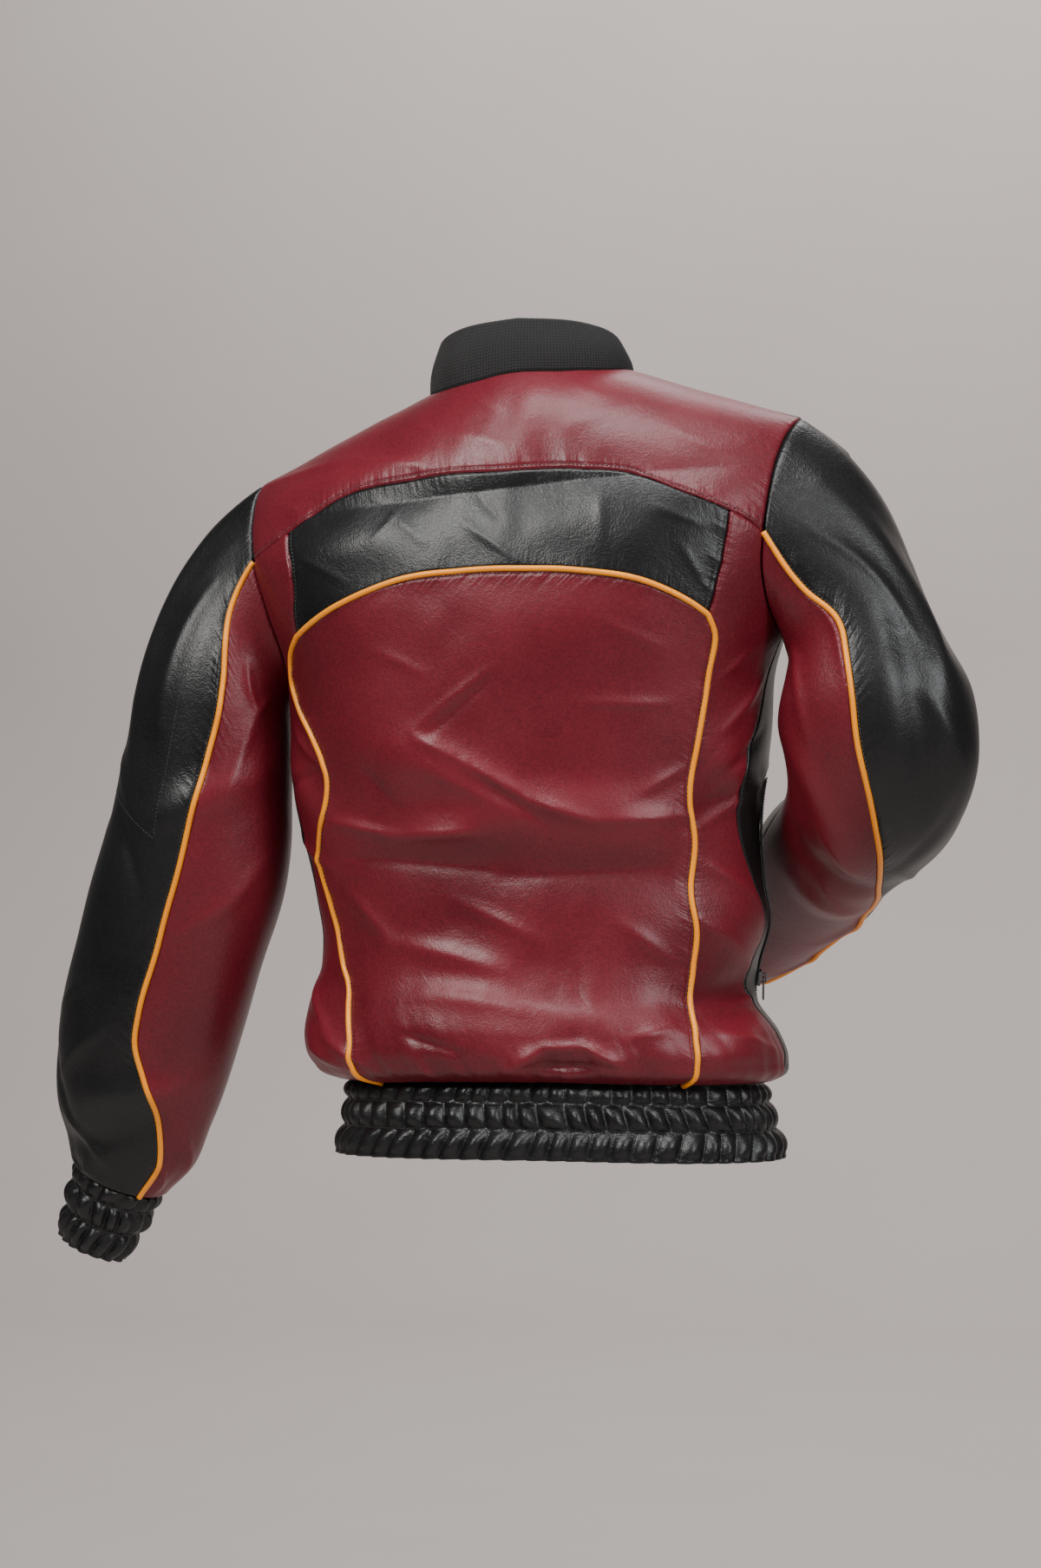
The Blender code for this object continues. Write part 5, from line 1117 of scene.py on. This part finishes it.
faces += [index[:-1, 0].tolist(), index[:-1, -1][::-1].tolist()]
cut = np.stack((np.broadcast_to(turns * 0.0014, (rows, columns)),
                np.broadcast_to(np.linspace(0.0, 0.10, rows)[:, None], (rows, columns))), -1).reshape(-1, 2)
# painted shade: the knit is darker in the valleys between the ribs and lighter on the ribs, in step with the
# rib relief
fibre_and_rib_shade = np.broadcast_to(0.5 + 0.5 * np.cos(RIBS * radians), (rows, columns)).ravel()
collar = mesh_piece("collar_knit", section.reshape(-1, 3), faces, cut, {"wear_and_shade": fibre_and_rib_shade})
lay_down(collar, rib_knit(), ("collar",))


# Zips: woven tape with a closed chain of metal teeth, and dark plated sliders with pull tabs. The
# solids of the sliders and pulls keep their shape and get their edges broken.
def plated(name, shade, roughness):
    """Dark plated zinc: brushed scratches in the roughness and worn brighter spots."""
    material = new_material(name, {"Metallic": 1.0})
    brushed = noise(material, drawn_out(material, in_space(material), (1400.0, 1400.0, 150.0)), 1.0)
    colour(material, brushed, [c * 0.75 for c in shade], [c * 1.3 for c in shade])
    feed(material, "Roughness", ranged(material, brushed, 0.0, 1.0, roughness - 0.08, roughness + 0.12))
    return material


def tape_weave():
    """Woven zip tape: a fine twill in the bump, and dull black yarn."""
    material = new_material("zip tape weave", {"Roughness": 0.75})
    twill = add_node(material, "ShaderNodeTexWave", (("Vector", on_cut(material)), ("Scale", 420.0)),
                     bands_direction="DIAGONAL").outputs["Fac"]
    colour(material, twill, (0.006, 0.006, 0.0065), (0.020, 0.020, 0.021))
    bump(material, twill, 0.0002, 1.0)
    return material


ZIP_METAL = plated("dark plated metal", (0.16, 0.16, 0.165), 0.30)
ZIP_TEETH = plated("zip teeth metal", (0.10, 0.10, 0.105), 0.36)
ZIP_TAPE = tape_weave()
TAPE_THICKNESS = 0.00096
TOOTH_PITCH = 0.0024
TOOTH_HALF_WIDTH, TOOTH_HEIGHT = 0.0016, 0.0011
TOOTH_ASIDE = 0.0011         # left and right teeth stand this far from the middle
TOOTH_TAPER = 0.72


def zip_chain(name, path, normal, half_width, node, sunk=0.0):
    """Tape as a strip sunk under a path, and a row of interlocked teeth along the path itself."""
    run = travelled(path)
    fine = np.linspace(0.0, run[-1], 160)
    path, normal = sampled(fine, run, path), sampled(fine, run, normal)
    along = unit(np.gradient(path, axis=0))
    across = unit(np.cross(along, normal))
    place = np.linspace(-1.0, 1.0, 9)[None, :, None]
    strip = path[:, None] + across[:, None] * half_width * place - normal[:, None] * sunk
    outward = np.broadcast_to(normal[:, None], strip.shape)
    cloth_wall(name + "_tape", strip, outward, TAPE_THICKNESS, {}, ZIP_TAPE, node)
    middle = np.arange(TOOTH_PITCH, fine[-1] - TOOTH_PITCH, TOOTH_PITCH / 2)
    hand = np.where(np.arange(len(middle)) % 2 == 0, 1.0, -1.0)[:, None]
    at, ahead, up = [sampled(middle, fine, line) for line in (path, along, normal)]
    aside = np.cross(ahead, up)
    box = np.array([(x, y, z) for x in (-1, 1) for y in (-1, 1) for z in (0, 1)], float)
    taper = np.where(box[:, 2:3] > 0, TOOTH_TAPER, 1.0)
    corner = (at[:, None]
              + aside[:, None] * (hand[:, None] * TOOTH_ASIDE
                                  + box[None, :, :1] * TOOTH_HALF_WIDTH * taper)
              + ahead[:, None] * box[None, :, 1:2] * TOOTH_PITCH * 0.21 * taper
              + up[:, None] * (box[None, :, 2:] * TOOTH_HEIGHT - 0.0001))
    quad = np.array(((0, 1, 3, 2), (4, 6, 7, 5), (0, 4, 5, 1), (2, 3, 7, 6), (0, 2, 6, 4), (1, 5, 7, 3)))
    quads = (quad[None] + 8 * np.arange(len(middle))[:, None, None]).reshape(-1, 4)
    teeth = mesh_piece(name + "_teeth", corner.reshape(-1, 3), quads, flat=True)
    solid = bmesh.new()
    solid.from_mesh(teeth.data)
    bmesh.ops.recalc_face_normals(solid, faces=solid.faces)
    solid.to_mesh(teeth.data)
    solid.free()
    lay_down(teeth, ZIP_TEETH)


def broken_edges(node, body_name):
    """Copy of a metal solid with its points joined and its edges rounded over."""
    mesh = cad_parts[node].data.copy()
    mesh.name = node + "_metal"
    mesh.materials.clear()
    solid = bmesh.new()
    solid.from_mesh(mesh)
    bmesh.ops.remove_doubles(solid, verts=solid.verts, dist=1e-6)
    bmesh.ops.dissolve_limit(solid, angle_limit=math.radians(2.0), verts=solid.verts, edges=solid.edges)
    solid.to_mesh(mesh)
    solid.free()
    piece = bpy.data.objects.new(node + "_metal", mesh)
    bpy.context.scene.collection.objects.link(piece)
    rounded = piece.modifiers.new("broken edges", "BEVEL")
    rounded.width = 0.00028
    rounded.segments = 2
    rounded.limit_method = "ANGLE"
    lay_down(piece, ZIP_METAL, (node,), body_name)


front_top = neckline([179.999])[0, 1]
front_line = np.column_stack((np.full(60, 179.999), np.linspace(front_top - 0.003, HEM, 60)))
on_body, out_body = body(front_line)
on_band, out_band = waist_base(np.full(8, 180.0), np.linspace(0.02, 1.0, 8))
zip_chain("front_zip", np.vstack((on_body, on_band)) - np.vstack((out_body, out_band)) * 0.0006,
          np.vstack((out_body, out_band)), 0.0105, "front_zip", 0.0014)
for side in (-1, 1):
    share = np.linspace(0.0, 1.0, 40)
    pocket = np.column_stack((side * (92.0 + 9.0 * share), -0.325 - 0.165 * share))
    on_body, out_body = body(pocket)
    zip_chain("pocket_zip_" + SIDE_NAMES[side], on_body + out_body * 0.0016, out_body, 0.0060,
              "pocket_zip_" + SIDE_NAMES[side])
for slider, pull, pull_body in (("front_zip_slider", "front_zip_pull", "front_pull"),
                                ("pocket_zip_slider_left", "pocket_zip_pull_left", "pocket_pull_left"),
                                ("pocket_zip_slider_right", "pocket_zip_pull_right", "pocket_pull_right")):
    broken_edges(slider, "jacket")
    broken_edges(pull, pull_body)


# Studio: a pale floor that sweeps up into a backdrop, soft lights, and the camera behind the jacket.
# Nothing here is part of the jacket.
FLOOR = -1.40
WALL = 5.8                   # how far back the backdrop stands
CURVE = 1.4                  # radius of the bend between floor and backdrop


def sweep():
    """Floor and backdrop in one sheet: flat, then a quarter round, then upright."""
    arc = np.linspace(0.0, math.pi / 2, 24)
    curve = np.column_stack((WALL - CURVE + CURVE * np.sin(arc), CURVE - CURVE * np.cos(arc)))
    profile = np.concatenate((((-6.0, 0.0),), curve, ((WALL, 6.0),)))
    x = np.linspace(-9.0, 9.0, 30)
    grid = np.zeros((len(profile), len(x), 3))
    grid[..., 0] = x[None]
    grid[..., 1], grid[..., 2] = profile[:, :1], profile[:, 1:] + FLOOR
    rows, columns = grid.shape[:2]
    index = np.arange(rows * columns).reshape(rows, columns)
    faces = np.stack((index[:-1, :-1], index[:-1, 1:], index[1:, 1:], index[1:, :-1]), -1).reshape(-1, 4)
    sheet = mesh_piece("studio_sweep", grid.reshape(-1, 3), faces)
    paper = new_material("pale paper", {"Roughness": 0.9})
    tint = noise(paper, in_space(paper), 3.0)
    colour(paper, tint, (0.50, 0.455, 0.435), (0.53, 0.485, 0.465))
    sheet.data.materials.append(paper)


sweep()


def soft_light(name, place, target, size, power, colour=(1.0, 1.0, 1.0)):
    """Square soft box aimed at a target."""
    data = bpy.data.lights.new(name, "AREA")
    data.shape = "RECTANGLE"
    data.size, data.size_y = size
    data.energy = power
    data.color = colour
    lamp = bpy.data.objects.new(name, data)
    bpy.context.scene.collection.objects.link(lamp)
    lamp.location = place
    direction = np.array(target) - np.array(place)
    flat = math.hypot(direction[0], direction[1])
    lamp.rotation_euler = (math.atan2(flat, -direction[2]), 0.0, math.atan2(-direction[0], direction[1]))


soft_light("key", (-1.3, -2.7, 1.9), (0.0, 0.0, -0.3), (1.3, 1.0), 98.0, (1.0, 0.985, 0.96))
soft_light("strip", (2.4, -2.0, 1.0), (0.1, 0.0, -0.3), (0.8, 1.9), 62.0, (0.97, 0.985, 1.0))
soft_light("top", (0.2, -0.9, 2.2), (0.0, 0.0, -0.1), (1.6, 1.0), 62.0)
soft_light("behind", (0.4, 2.3, 2.7), (0.0, 0.1, -0.3), (2.0, 1.0), 40.0)
soft_light("wall wash", (-0.2, 3.0, 3.4), (0.2, 5.8, 1.0), (4.0, 1.0), 210.0, (1.0, 0.97, 0.95))
world = bpy.data.worlds.new("studio air")
world.use_nodes = True
world.node_tree.nodes["Background"].inputs["Color"].default_value = (0.85, 0.84, 0.83, 1.0)
world.node_tree.nodes["Background"].inputs["Strength"].default_value = 0.12
bpy.context.scene.world = world

camera_data = bpy.data.cameras.new("camera")
camera_data.lens = 88.5
camera_data.sensor_width = 36.0
camera = bpy.data.objects.new("camera", camera_data)
bpy.context.scene.collection.objects.link(camera)
camera.location = (0.657, -3.132, -0.312)
camera.rotation_euler = (math.radians(90.0), 0.0, math.radians(12.0))
bpy.context.scene.camera = camera
